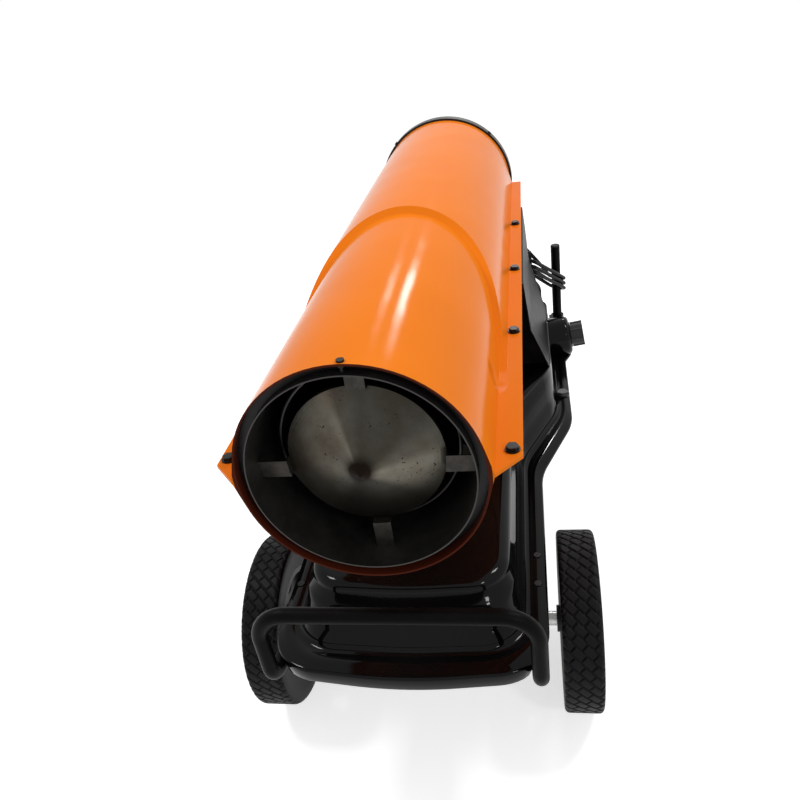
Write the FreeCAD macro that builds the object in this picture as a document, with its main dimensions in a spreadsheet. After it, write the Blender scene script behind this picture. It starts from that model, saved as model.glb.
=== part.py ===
"""A wheeled forced-air oil heater: an orange barrel on a black fuel tank.

Millimetres. +Z is up, the hot-air outlet faces -Y and +X is on the right seen from the outlet.
The origin is on the floor under the middle of the heater. Distances along the heater are
written from the front plane, which the outlet's rim touches.
"""
import FreeCAD, Part
import Sketcher
import math
import os
import re

doc = FreeCAD.newDocument("forced_air_heater")
sheet = doc.addObject("Spreadsheet::Sheet", "Sizes")
names = []
nodes = {}


# The sheet and its values

def sizes(table):
    """Writes a table of dimensions into the sheet, one aliased cell each; a text with = is worked out."""
    for name, number in table.items():
        names.append(name)
        row = len(names)
        sheet.set("A%d" % row, name)
        sheet.set("B%d" % row, str(number))
        sheet.setAlias("B%d" % row, name)
    sheet.recompute()


def bound(text):
    """The expression of a text in size names, such as 'rear_radius - sheet'."""
    return re.sub(r"[a-z_][a-z_0-9]*", lambda word: "Sizes." + word.group()
                  if word.group() in names else word.group(), text)


def value(text):
    """The number that such a text gives now."""
    return float(sheet.evalExpression(bound(text)))


def point(x, y, z):
    return FreeCAD.Vector(value(x), value(y), value(z))


def along(text):
    """The Y of a distance from the front plane."""
    return "(%s) - half_length" % text


# Placing and shaping

UP = FreeCAD.Rotation()
BACK = FreeCAD.Rotation(FreeCAD.Vector(1, 0, 0), -90)
RIGHT = FreeCAD.Rotation(FreeCAD.Vector(0, 1, 0), 90)
FACING_FRONT = FreeCAD.Rotation(FreeCAD.Vector(1, 0, 0), 90)
FACING_RIGHT = FreeCAD.Rotation(FreeCAD.Vector(1, 1, 1), 120)


def put(piece, x="0", y="0", z="0", turn=UP):
    piece.Placement = FreeCAD.Placement(FreeCAD.Vector(), turn)
    for axis, text in zip("xyz", (x, y, z)):
        piece.setExpression("Placement.Base." + axis, bound(text))
    return piece


def primitive(kind, place, turn, **lengths):
    piece = doc.addObject("Part::" + kind, kind.lower())
    for prop, text in lengths.items():
        piece.setExpression(prop, bound(text))
    return put(piece, *place, turn)


def cylinder(radius, height, x, y, z, turn=UP):
    return primitive("Cylinder", (x, y, z), turn, Radius=radius, Height=height)


def cone(radius, far_radius, height, x, y, z, turn=UP):
    return primitive("Cone", (x, y, z), turn, Radius1=radius, Radius2=far_radius, Height=height)


def hexagon(radius, height, x, y, z, turn=UP):
    return primitive("Prism", (x, y, z), turn, Circumradius=radius, Height=height)


def torus(radius, wire, x, y, z, turn=UP):
    return primitive("Torus", (x, y, z), turn, Radius1=radius, Radius2=wire)


def box(length, width, height, x, y, z):
    """A block whose middle of the underside is at x, y, z."""
    return primitive("Box", ("(%s) - (%s) / 2" % (x, length), "(%s) - (%s) / 2" % (y, width), z), UP,
                     Length=length, Width=width, Height=height)


def fuse(*pieces):
    if len(pieces) == 1:
        return pieces[0]
    joined = doc.addObject("Part::MultiFuse", "fuse")
    joined.Shapes = list(pieces)
    return joined


def cut(base, *tools):
    for tool in tools:
        trimmed = doc.addObject("Part::Cut", "cut")
        trimmed.Base = base
        trimmed.Tool = tool
        base = trimmed
    return base


def common(first, second):
    shared = doc.addObject("Part::Common", "common")
    shared.Base = first
    shared.Tool = second
    return shared


def group(pieces):
    """Separate solids under one name."""
    compound = doc.addObject("Part::Compound", "group")
    compound.Links = list(pieces)
    return compound


def mirrored(piece, normal, height="0"):
    twin = doc.addObject("Part::Mirroring", "mirror")
    twin.Source = piece
    twin.Normal = normal
    twin.setExpression("Base.z", bound(height))
    return twin


def node(name, piece):
    piece.Label = name
    nodes[name] = piece
    return piece


def profile(body, plane, points):
    """A closed sketch: each (x, y) ends a line, each (x, y, radius, side) an arc centred on that side."""
    sketch = body.newObject("Sketcher::SketchObject", "profile")
    roles = {feature.Role: feature for feature in body.Origin.OriginFeatures}
    sketch.AttachmentSupport = [(roles[plane], "")]
    sketch.MapMode = "FlatFace"
    places = [FreeCAD.Vector(value(corner[0]), value(corner[1]), 0) for corner in points]
    ends = []
    for index, corner in enumerate(points):
        start = places[index - 1]
        finish = places[index]
        if len(corner) == 2:
            sketch.addGeometry(Part.LineSegment(start, finish), False)
            ends.append((1, 2))
            continue
        radius = value(corner[2])
        side = 1 if corner[3] == "left" else -1
        chord = finish - start
        reach = math.sqrt(max(radius ** 2 - chord.Length ** 2 / 4, 0))
        normal = FreeCAD.Vector(-chord.y, chord.x, 0).normalize()
        centre = (start + finish) / 2 + normal * reach * side
        first, last = (start, finish) if side == 1 else (finish, start)
        angles = [math.atan2(spot.y - centre.y, spot.x - centre.x) for spot in (first, last)]
        circle = Part.Circle(centre, FreeCAD.Vector(0, 0, 1), radius)
        sketch.addGeometry(Part.ArcOfCircle(circle, angles[0], angles[1]), False)
        ends.append((1, 2) if side == 1 else (2, 1))
    for index in range(len(points)):
        following = (index + 1) % len(points)
        sketch.addConstraint(Sketcher.Constraint("Coincident", index, ends[index][1], following,
                                                 ends[following][0]))
    for index, corner in enumerate(points):
        tie(sketch, "DistanceX", index, ends[index][1], corner[0], -2)
        tie(sketch, "DistanceY", index, ends[index][1], corner[1], -1)
        if len(corner) == 4:
            number = sketch.addConstraint(Sketcher.Constraint("Radius", index, value(corner[2])))
            sketch.setExpression("Constraints[%d]" % number, bound(corner[2]))
    return sketch


def tie(sketch, kind, index, end, text, axis):
    """Holds one sketch point at a named distance from the origin, on either side of it."""
    distance = value(text)
    if text == "0":
        sketch.addConstraint(Sketcher.Constraint("PointOnObject", index, end, axis))
    elif distance < 0:
        number = sketch.addConstraint(Sketcher.Constraint(kind, index, end, -1, 1, -distance))
        sketch.setExpression("Constraints[%d]" % number, bound("-(%s)" % text))
    else:
        number = sketch.addConstraint(Sketcher.Constraint(kind, -1, 1, index, end, distance))
        sketch.setExpression("Constraints[%d]" % number, bound(text))


def turned(points, x, y, z, turn=UP):
    """A body revolved about its own axis from (radius, height) points, its axis then turned and placed."""
    body = doc.addObject("PartDesign::Body", "turned")
    sketch = profile(body, "XZ_Plane", points)
    revolution = body.newObject("PartDesign::Revolution", "revolution")
    revolution.Profile = sketch
    revolution.ReferenceAxis = (sketch, ["V_Axis"])
    revolution.Angle = 360
    return put(body, x, y, z, turn)


def padded(points, length, x="0", y="0", z="0", turn=UP):
    """A body padded from a flat outline, its pad then turned and placed."""
    body = doc.addObject("PartDesign::Body", "padded")
    sketch = profile(body, "XY_Plane", points)
    pad = body.newObject("PartDesign::Pad", "pad")
    pad.Profile = sketch
    pad.setExpression("Length", bound(length))
    return put(body, x, y, z, turn)


def spun(piece, count, x, y, z, direction):
    """Copies of a placed piece round an axis, each with its own turn."""
    copies = []
    for number in range(count):
        link = doc.addObject("Part::Feature", "copy")
        shape = piece.Shape.copy()
        shape.rotate(point(x, y, z), direction, 360 * number / count)
        link.Shape = shape
        copies.append(link)
    return copies


def ring(outer, inner, height, x, y, z, turn=UP):
    return turned([(inner, "0"), (outer, "0"), (outer, height), (inner, height)], x, y, z, turn)


def route(places, bends):
    """A wire of straight runs joined by tangent arcs of the given radii at its inner points."""
    edges = []
    start = places[0]
    for index, radius in enumerate(bends, 1):
        here = places[index]
        back = (places[index - 1] - here).normalize()
        ahead = (places[index + 1] - here).normalize()
        half = back.getAngle(ahead) / 2
        reach = radius / math.tan(half)
        middle = here + (back + ahead).normalize() * (radius / math.sin(half) - radius)
        edges.append(Part.LineSegment(start, here + back * reach).toShape())
        edges.append(Part.Arc(here + back * reach, middle, here + ahead * reach).toShape())
        start = here + ahead * reach
    edges.append(Part.LineSegment(start, places[-1]).toShape())
    return Part.Wire(edges)


def swept(path, radius, bore=0):
    """A round bar or tube along a wire."""
    start = path.Edges[0]
    direction = start.tangentAt(start.FirstParameter)
    solids = []
    for size in (radius, bore):
        if size:
            section = Part.Wire(Part.makeCircle(size, start.valueAt(start.FirstParameter), direction))
            shell = Part.BRepOffsetAPI.MakePipeShell(path)
            shell.add(section)
            shell.build()
            shell.makeSolid()
            solids.append(shell.shape())
    return solids[0].cut(solids[1]) if bore else solids[0]


def drawn(shape):
    """A solid worked out with wires, where no sketch feature gives its form."""
    piece = doc.addObject("Part::Feature", "drawn")
    piece.Shape = shape
    return piece


def rounded(corners, radii, height):
    """A closed flat wire through corners, each rounded by a tangent arc."""
    edges = []
    count = len(corners)
    tangents = []
    for index in range(count):
        here = corners[index]
        back = (corners[index - 1] - here).normalize()
        ahead = (corners[(index + 1) % count] - here).normalize()
        half = back.getAngle(ahead) / 2
        reach = radii[index] / math.tan(half)
        middle = here + (back + ahead).normalize() * (radii[index] / math.sin(half) - radii[index])
        tangents.append((here + back * reach, middle, here + ahead * reach))
    for index in range(count):
        edges.append(Part.LineSegment(tangents[index - 1][2], tangents[index][0]).toShape())
        edges.append(Part.Arc(*tangents[index]).toShape())
    wire = Part.Wire(edges)
    wire.translate(FreeCAD.Vector(0, 0, height))
    return wire


shared_sizes = {
    "clearance": 0.3, "running_gap": 0.08, "overrun": 5, "sheet": 2,
}
sizes(shared_sizes)

# Barrel shells: two orange half shells of pressed sheet. Each has a smaller front and a larger
# rear, parted by an arched step, and straight legs that fold out into the joint flange.

barrel_sizes = {
    "axis_height": 538, "shell_length": 1094, "guard_end": 10,
    "half_length": "=(shell_length + guard_end) / 2", "front_radius": 131,
    "rear_radius": 139.5, "leg_angle": 15, "flange_edge": 162.5, "flange_sweep": 30,
    "flange_rear_setback": 50, "step_foot": 190, "step_top": 459, "step_arc": 460, "step_wall": 3,
    "screw_line": 152, "screw_first": 40, "screw_second": 310, "screw_pitch": 223,
    "screw_radius": 2.5, "screw_head": 6.5, "screw_head_height": 4, "screw_flange": 8,
    "screw_flange_height": 1.5, "screw_nut_height": 5,
}
sizes(barrel_sizes)


def half_section(radius):
    fold = "(%s - sheet * sin(leg_angle)) / cos(leg_angle)" % radius
    side = "%s * cos(leg_angle)" % radius
    rise = "%s * sin(leg_angle)" % radius
    return [("flange_edge", "0"), ("flange_edge", "sheet"), (fold, "sheet"), (side, rise),
            ("0", radius, radius, "left"), ("-(%s)" % side, rise, radius, "left"),
            ("-(%s)" % fold, "sheet"),
            ("-flange_edge", "sheet"), ("-flange_edge", "0")]


def half_disc(radius):
    return [(radius, "0"), ("0", radius, radius, "left"), ("-(%s)" % radius, "0", radius, "left")]


def behind_step(setback):
    """The space behind the arched step, seen from the side and as wide as the barrel."""
    outline = [("step_foot + %s" % setback, "0"),
   ("step_top + %s" % setback, "rear_radius", "step_arc", "left"),
               ("step_top + %s" % setback, "rear_radius + overrun"),
               ("shell_length + overrun", "rear_radius + overrun"),
               ("shell_length + overrun", "0")]
    return padded(outline, "2 * flange_edge + 2 * overrun", "-flange_edge - overrun", "-half_length",
                  "axis_height",
                  FACING_RIGHT)


def half_bar(points):
    return padded(points, "shell_length", "0", along("shell_length"), "axis_height",
                  FACING_FRONT)


def flange_corner():
    swept_off = [("front_radius / cos(leg_angle)", "-overrun"), ("flange_edge + overrun", "-overrun"),
                 ("flange_edge + overrun", "flange_sweep"), ("flange_edge", "flange_sweep"),
                 ("front_radius / cos(leg_angle)", "0")]
    return padded(swept_off, "sheet + 2 * overrun", "0", "-half_length", "axis_height - overrun")


tail = cut(box("2 * flange_edge + 2 * overrun", "flange_rear_setback + overrun", "2 * rear_radius", "0",
               along("shell_length - flange_rear_setback / 2 + overrun / 2"), "axis_height - overrun"),
           cylinder("rear_radius", "2 * half_length", "0", "-half_length", "axis_height", BACK))
corner = flange_corner()
half_shell = cut(fuse(half_bar(half_section("front_radius")),
                      common(half_bar(half_section("rear_radius")), behind_step("0"))),
                 half_bar(half_disc("(front_radius - sheet)")),
                 common(half_bar(half_disc("(rear_radius - sheet)")), behind_step("step_wall")),
                 tail, corner, mirrored(corner, FreeCAD.Vector(1, 0, 0)))
screw_places = ["screw_first"] + ["screw_second + %d * screw_pitch" % step for step in range(3)]
flange_holes = []
flange_screws = []
for side in ("screw_line", "-screw_line"):
    for place in screw_places:
        spot = (side, along(place))
        flange_holes.append(cylinder("screw_radius + clearance", "4 * sheet", *spot,
                                     "axis_height - 2 * sheet"))
        flange_screws.append(fuse(
            hexagon("screw_head", "screw_head_height", *spot, "axis_height + sheet + screw_flange_height"),
            cylinder("screw_flange", "screw_flange_height", *spot, "axis_height + sheet"),
            cylinder("screw_radius", "2 * sheet + screw_nut_height", *spot,
                     "axis_height - sheet - screw_nut_height"),
            hexagon("screw_head", "screw_nut_height", *spot, "axis_height - sheet - screw_nut_height")))
half_shell = cut(half_shell, fuse(*flange_holes))
node("flange_screws", group(flange_screws))

# Outlet: a black ring closes the gap between the shell and the bright heat liner, and a shallow
# steel cone on four tabs spreads the flame ahead of the flame tube.

outlet_sizes = {
    "liner_radius": 119.2, "liner_sheet": 1.5, "liner_recess": 0.5, "liner_length": 620,
    "ring_recess": 14, "ring_skirt": 30, "trim_screw_radius": 1.8, "trim_screw_head": 4,
    "trim_screw_head_height": 2.2,
    "trim_screw_place": 6, "trim_screw_angle": 1.5, "trim_nut": 3.5, "trim_nut_height": 3,
}
sizes(outlet_sizes)

node("outlet_ring", turned([
    ("liner_radius + clearance", "ring_recess"), ("front_radius - sheet - clearance", "ring_recess"),
    ("front_radius - sheet - clearance", "ring_skirt"),
    ("front_radius - 2 * sheet - clearance", "ring_skirt"),
    ("front_radius - 2 * sheet - clearance", "ring_recess + sheet"),
    ("liner_radius + clearance", "ring_recess + sheet")], "0", "-half_length", "axis_height", BACK))
node("heat_liner", turned([
    ("liner_radius - liner_sheet", "liner_recess"), ("liner_radius", "liner_recess"),
    ("liner_radius", "liner_length"), ("liner_radius - liner_sheet", "liner_length")],
    "0", "-half_length", "axis_height", BACK))

cone_sizes = {
    "tube_radius": 98, "tube_start": 62, "tube_length": 500, "tube_bead": 2.5, "cone_radius": 84.5,
    "cone_base": 43, "cone_tip": 5, "cone_sheet": 1.5, "cone_lip": 7, "tip_radius": 5,
    "tab_width": 20, "tab_place": 33, "tab_foot": 9, "tab_right": 5, "tab_drop": 8, "rivet_head": 3,
    "rivet_head_height": 1.5,
}
sizes(cone_sizes)

node("flame_tube", fuse(
    ring("tube_radius", "tube_radius - liner_sheet", "tube_length", "0", along("tube_start"),
         "axis_height", BACK),
    torus("tube_radius - liner_sheet / 2", "tube_bead", "0", along("tube_start + tube_bead"),
          "axis_height", BACK)))
node("flame_cone", turned([
    ("0", "cone_tip"), ("tip_radius", "cone_tip + tip_radius / 2"), ("cone_radius", "cone_base"),
    ("cone_radius", "cone_base + cone_lip"), ("cone_radius - cone_sheet", "cone_base + cone_lip"),
    ("cone_radius - cone_sheet", "cone_base + cone_sheet / 2"), ("0", "cone_tip + 2 * cone_sheet")],
    "0", "-half_length", "axis_height", BACK))

seat = "(liner_radius - liner_sheet - clearance)"
tab_rim = turned([
    ("cone_radius + clearance", "cone_base"), ("cone_radius + clearance + cone_sheet", "cone_base"),
    ("cone_radius + clearance + cone_sheet", "tab_place + cone_sheet"),
    (seat + " - cone_sheet", "tab_place + cone_sheet"),
    (seat + " - cone_sheet", "tab_place + tab_foot"), (seat, "tab_place + tab_foot"), (seat, "tab_place"),
    ("cone_radius + clearance", "tab_place")], "0", "-half_length", "axis_height", BACK)
upright_tabs = box("tab_width", "2 * (cone_base + cone_lip)", "2 * liner_radius", "tab_right",
                   along("cone_base"),
                   "axis_height - liner_radius")
level_tabs = box("2 * liner_radius", "2 * (cone_base + cone_lip)", "tab_width", "0", along("cone_base"),
                 "axis_height - tab_drop - tab_width / 2")
node("cone_tabs", common(tab_rim, fuse(upright_tabs, level_tabs)))


def round_barrel(radius, height, start, angle, place):
    """A pin square to the barrel at an angle from its top, starting a distance from its axis."""
    turn = FreeCAD.Rotation(FreeCAD.Vector(0, 1, 0), value(angle))
    return cylinder(radius, height, "(%s) * sin(%s)" % (start, angle), along(place),
                    "axis_height + (%s) * cos(%s)" % (start, angle), turn)


AXIS = ("0", "0", "axis_height")
TO_REAR = FreeCAD.Vector(0, 1, 0)
tab_lean = "asin(tab_right / %s)" % seat
tab_sag = "asin(tab_drop / %s)" % seat
node("cone_rivets", group([
    round_barrel("rivet_head", "rivet_head_height",
                 seat + " - cone_sheet - rivet_head_height - clearance / 2", angle,
                 "tab_place + tab_foot - rivet_head - cone_sheet / 2")
    for angle in (tab_lean, "90 deg + " + tab_sag, "180 deg - " + tab_lean, "270 deg - " + tab_sag)]))

spacer_sizes = {
    "spacer_width": 14, "spacer_foot": 14, "liner_spacer_place": 560, "tube_spacer_first": 110,
    "tube_spacer_second": 480,
}
sizes(spacer_sizes)


def spacers(inner, outer, place, count):
    """Bent strips that hold one tube inside another: a foot on each and a web between."""
    strip = turned([(inner, place), (inner + " + liner_sheet", place),
    (inner + " + liner_sheet", place + " + spacer_foot"),
                    (outer + " - liner_sheet", place + " + spacer_foot"),
                    (outer + " - liner_sheet", place + " + 2 * spacer_foot"),
                    (outer, place + " + 2 * spacer_foot"),
                    (outer, place + " + spacer_foot - liner_sheet"),
                    (inner + " + 2 * liner_sheet", place + " + spacer_foot - liner_sheet"),
                    (inner + " + 2 * liner_sheet", place)], "0", "-half_length", "axis_height", BACK)
    bar = box("spacer_width", "shell_length", "rear_radius", "0", along("shell_length / 2"), "axis_height")
    shared = common(strip, bar)
    doc.recompute()
    return spun(shared, count, *AXIS, TO_REAR)


around_tube = ("tube_radius + clearance", "liner_radius - liner_sheet - clearance")
node("liner_spacers", group(
    spacers("liner_radius + clearance", "rear_radius - sheet - clearance", "liner_spacer_place", 3)
    + spacers(*around_tube, "tube_spacer_first", 3) + spacers(*around_tube, "tube_spacer_second", 3)))

# Burner: a vaned head closes the flame tube's rear end. The nozzle, the two electrodes and the
# flame sensor pass through it.

burner_sizes = {
    "head_sheet": 3, "head_slots": 10, "slot_inner": 34, "slot_outer": 82, "slot_width": 5,
    "vane_rise": 14, "vane_sheet": 1.5, "holder_radius": 10, "holder_start": 548,
    "holder_length": 112, "nozzle_hex": 9, "nozzle_length": 14, "nozzle_tip": 4,
    "electrode_radius": 4, "electrode_start": 545, "electrode_length": 85, "electrode_wire": 1.2,
    "electrode_reach": 22, "electrode_x": 20, "electrode_z": 15, "sensor_radius": 8,
    "sensor_length": 32, "sensor_drop": 24, "sensor_eye": 4,
}
sizes(burner_sizes)

head_place = "tube_start + tube_length"
slot = box("slot_width", "head_sheet + 2 * overrun", "slot_outer - slot_inner", "0",
           along(head_place + " + head_sheet / 2"), "axis_height + slot_inner")
vane = box("vane_sheet", "vane_rise", "slot_outer - slot_inner", "slot_width / 2 + vane_sheet / 2",
           along(head_place + " + head_sheet + vane_rise / 2"), "axis_height + slot_inner")
doc.recompute()
slot_count = int(value("head_slots"))
electrode_spots = [("electrode_x", "axis_height + electrode_z"),
("-electrode_x", "axis_height + electrode_z")]
node("burner_head", cut(
    fuse(cylinder("tube_radius", "head_sheet", "0", along(head_place), "axis_height", BACK),
         *spun(vane, slot_count, *AXIS, TO_REAR)),
    fuse(*spun(slot, slot_count, *AXIS, TO_REAR)),
    cylinder("holder_radius + clearance", "head_sheet + 2 * overrun", "0", along(head_place + " - overrun"),
             "axis_height", BACK),
    cylinder("sensor_eye", "head_sheet + 2 * overrun", "0", along(head_place + " - overrun"),
             "axis_height - sensor_drop", BACK),
    *[cylinder("electrode_radius + clearance", "head_sheet + 2 * overrun", x,
               along(head_place + " - overrun"), z, BACK)
      for x, z in electrode_spots]))
node("nozzle_holder", cylinder("holder_radius", "holder_length", "0", along("holder_start"),
                               "axis_height", BACK))
node("burner_nozzle", fuse(
    hexagon("nozzle_hex", "nozzle_length", "0", along("holder_start - nozzle_length"), "axis_height", BACK),
    cone("nozzle_tip / 2", "nozzle_tip", "nozzle_tip", "0",
         along("holder_start - nozzle_length - nozzle_tip"),
         "axis_height", BACK)))
node("spark_electrodes", group([fuse(
    cylinder("electrode_radius", "electrode_length", x, along("electrode_start"), z, BACK),
    cylinder("electrode_wire", "electrode_reach", x, along("electrode_start - electrode_reach"), z, BACK))
    for x, z in electrode_spots]))
node("flame_sensor", cylinder("sensor_radius", "sensor_length", "0", along(head_place + " + head_sheet"),
                              "axis_height - sensor_drop", BACK))

# Motor, pump and fan: one motor turns the fan behind it and the fuel pump ahead of it.

motor_sizes = {
    "motor_radius": 60, "motor_setback": 274, "motor_start": "=shell_length - motor_setback",
    "motor_length": 130, "motor_bell": 16,
    "shaft_radius": 6, "shaft_setback": 322, "shaft_start": "=shell_length - shaft_setback",
    "shaft_length": 262, "pump_radius": 38,
    "pump_setback": 349, "pump_start": "=shell_length - pump_setback", "pump_flange": 48,
    "pump_flange_height": 15, "pump_outlet": 7,
    "pump_outlet_height": 12, "bracket_width": 90, "bracket_length": 100, "line_radius": 4,
    "line_bend": 14, "line_rise": 62, "pickup_x": 85, "pickup_place": 765, "motor_end_share": 0.7,
}
sizes(motor_sizes)

motor_bore = cylinder("shaft_radius + running_gap", "motor_length + 2 * overrun", "0",
                      along("motor_start - overrun"),
                      "axis_height", BACK)
node("motor", cut(turned([
    ("0", "0"), ("motor_radius * motor_end_share", "0"), ("motor_radius", "motor_bell"),
    ("motor_radius", "motor_length - motor_bell"),
    ("motor_radius * motor_end_share", "motor_length"), ("0", "motor_length")], "0", along("motor_start"),
    "axis_height", BACK),
    motor_bore))
node("motor_bracket", cut(common(
    box("bracket_width", "bracket_length", "rear_radius", "0", along("motor_start + motor_length / 2"),
        "axis_height - rear_radius"),
    cylinder("rear_radius - sheet - clearance", "2 * half_length", "0", "-half_length", "axis_height",
             BACK)),
    cylinder("motor_radius + clearance", "2 * half_length", "0", "-half_length", "axis_height", BACK),
    box("bracket_width", "2 * bracket_length", "2 * motor_radius", "0",
        along("motor_start + motor_length / 2"),
        "axis_height - motor_radius / 2")))
pump_tap = "pump_start + pump_flange_height"
node("fuel_pump", cut(fuse(
    cylinder("pump_radius", "motor_start - pump_start - pump_flange_height", "0", along("pump_start"),
             "axis_height", BACK),
    cylinder("pump_flange", "pump_flange_height", "0", along("motor_start - pump_flange_height"),
             "axis_height", BACK),
    cylinder("pump_outlet", "pump_radius + pump_outlet_height", "0", along(pump_tap), "axis_height"),
    cylinder("pump_outlet", "pump_radius + pump_outlet_height", "0", along("pickup_place"), "axis_height",
             RIGHT)),
    cylinder("shaft_radius + running_gap", "motor_length", "0", along("shaft_start - clearance"),
             "axis_height", BACK),
    cylinder("line_radius + clearance", "pump_radius + 2 * pump_outlet_height", "0", along(pump_tap),
             "axis_height + pump_radius")))
holder_tap = "holder_start + holder_length - 2 * pump_outlet"
line_path = route([point("0", along(pump_tap), "axis_height + pump_radius"),
                   point("0", along(pump_tap), "axis_height + line_rise + line_radius"),
                   point("0", along(holder_tap), "axis_height + line_rise + line_radius"),
                   point("0", along(holder_tap), "axis_height + holder_radius")],
                  [value("line_bend"), value("line_bend")])
node("fuel_line", drawn(swept(line_path, value("line_radius"))))
node("motor_shaft", cylinder("shaft_radius", "shaft_length", "0", along("shaft_start"), "axis_height",
                             BACK))

fan_sizes = {
    "fan_radius": 126, "fan_setback": 112, "fan_start": "=shell_length - fan_setback", "fan_hub": 26,
    "fan_hub_length": 36, "fan_blades": 5,
    "blade_root": 46, "blade_tip": 92, "blade_sheet": 2.5, "blade_root_angle": 48,
    "blade_tip_angle": 26,
}
sizes(fan_sizes)


def blade():
    """A twisted blade lofted from a steep root chord to a wider, flatter tip chord."""
    wires = []
    for radius, chord, angle in (("fan_hub / 2", "blade_root", "blade_root_angle"),
                                 ("fan_radius", "blade_tip", "blade_tip_angle")):
        half = value(chord) / 2
        skin = value("blade_sheet") / 2
        corners = [FreeCAD.Vector(across, depth, 0) for across, depth in
                   ((-half, -skin), (half, -skin), (half, skin), (-half, skin))]
        wire = Part.makePolygon(corners + corners[:1])
        wire.rotate(FreeCAD.Vector(), FreeCAD.Vector(0, 0, 1), value(angle))
        wire.translate(point("0", along("fan_start + fan_hub_length / 2"), "axis_height + " + radius))
        wires.append(wire)
    return Part.makeLoft(wires, True, True)


fan_blade = drawn(blade())
node("fan", cut(common(
    fuse(cylinder("fan_hub", "fan_hub_length", "0", along("fan_start"), "axis_height", BACK),
         *spun(fan_blade, int(value("fan_blades")), *AXIS, TO_REAR)),
    cylinder("fan_radius", "2 * half_length", "0", "-half_length", "axis_height", BACK)),
    cylinder("shaft_radius", "fan_hub_length + 2 * overrun", "0", along("fan_start - overrun"),
             "axis_height", BACK)))

# Rear end: a black trim ring over the shells' rear edge and a wire guard on it.

guard_sizes = {
    "rear_ring_sheet": 3.9, "rear_ring_skirt": 22, "rear_ring_start": "=shell_length - rear_ring_skirt",
    "rear_ring_lip": 132, "guard_wire": 2.2,
    "guard_rings": 4, "guard_spokes": 8, "guard_centre": 22, "guard_reach": 137, "spoke_share": 0.8,
}
sizes(guard_sizes)

lip_place = "shell_length + clearance"
rear_ring = turned([
    ("rear_radius + clearance", "rear_ring_start"),
    ("rear_radius + clearance + rear_ring_sheet", "rear_ring_start"),
    ("rear_radius + clearance + rear_ring_sheet", lip_place + " + sheet"),
    ("rear_ring_lip", lip_place + " + sheet"),
    ("rear_ring_lip", lip_place), ("rear_radius + clearance", lip_place)], "0", "-half_length",
    "axis_height", BACK)
guard_plane = "shell_length + clearance + sheet + guard_wire"
guard_hoops = [torus("guard_centre + (guard_reach - guard_centre) * %d / guard_rings" % (number + 1),
                     "guard_wire", "0", along(guard_plane), "axis_height", BACK)
               for number in range(int(value("guard_rings")))]
guard_spoke = cylinder("guard_wire * spoke_share", "guard_reach", "0", along(guard_plane), "axis_height")
doc.recompute()
node("rear_guard", fuse(
    cylinder("guard_centre", "2 * half_length - (%s)" % guard_plane, "0", along(guard_plane),
             "axis_height", BACK),
    *guard_hoops, *spun(guard_spoke, int(value("guard_spokes")), *AXIS, TO_REAR)))

# Fuel tank: two pressed halves seam-welded at a wide flat rim, narrow ahead between the wheels
# and wide behind.

tank_sizes = {
    "rim_height": 228, "rim_sheet": 2.5, "tank_wall": 2, "tank_top": 302, "tank_bottom": 142,
    "rim_front": 0, "rim_corner": 20, "rim_narrow": 179, "rim_wide": 237, "rim_flare": 410,
    "rim_flare_end": 560, "rim_rear": 1010, "foot_front": 46, "foot_corner": 54, "foot_narrow": 147,
    "foot_wide": 210, "foot_flare": 440, "foot_flare_end": 590, "foot_rear": 978, "top_front": 86,
    "top_corner": 95, "top_narrow": 134, "top_wide": 205, "top_flare": 510, "top_flare_end": 640,
    "top_rear": 965, "floor_front": 110, "floor_corner": 118, "floor_narrow": 125,
    "floor_wide": 185, "floor_flare": 470, "floor_flare_end": 600, "floor_rear": 950,
    "bow_radius": 600, "corner_radius": 70, "wall_corner_radius": 55, "flare_radius": 150,
    "rear_corner_radius": 45, "lip_height": 14, "lip_sheet": 2.5, "lip_reach": 148, "lip_depth": 40,
    "boss_x": 205, "boss_place": 838, "boss_height": 262, "boss_angle": 82, "boss_radius": 40,
    "boss_length": 45, "boss_root": 30, "boss_round": 10, "boss_rim": 46,
}
sizes(tank_sizes)


def tank_outline(level, corner_size, height):
    """A level's outline: a bowed front, straight narrow sides, a flare, and a wide rear."""
    right = [(level + "_narrow", level + "_corner", corner_size),
    (level + "_narrow", level + "_flare", "flare_radius"),
             (level + "_wide", level + "_flare_end", "flare_radius"),
             (level + "_wide", level + "_rear", "rear_corner_radius")]
    left = [("-" + x, y, radius) for x, y, radius in reversed(right)]
    corners = [("0", level + "_front", "bow_radius")] + right + left
    return rounded([point(x, along(y), "0") for x, y, radius in corners],
                   [value(radius) for x, y, radius in corners], value(height))


def tank_block(far_level, far_height, wall):
    """The space inside raked walls lofted from the rim to the far level, drawn in by a wall's thickness."""
    foot = tank_outline("foot", "wall_corner_radius", "rim_height")
    far = tank_outline(far_level, "wall_corner_radius", far_height)
    if wall:
        foot = foot.makeOffset2D(-wall)
        far = far.makeOffset2D(-wall)
        far.translate(FreeCAD.Vector(0, 0, math.copysign(wall, value("rim_height - " + far_height))))
    return Part.makeLoft([foot, far], True, True)


def rim_plate(start):
    """The rim's flat plate, with a lobe under the filler's boss."""
    plate = Part.Face(tank_outline("rim", "corner_radius", start)).extrude(FreeCAD.Vector(0, 0,
                                                                                          value("rim_sheet")))
    lobe = Part.makeCylinder(value("boss_rim"), value("rim_sheet"), point("boss_x", along("boss_place"),
                                                                          start))
    return plate.fuse(lobe)


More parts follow.
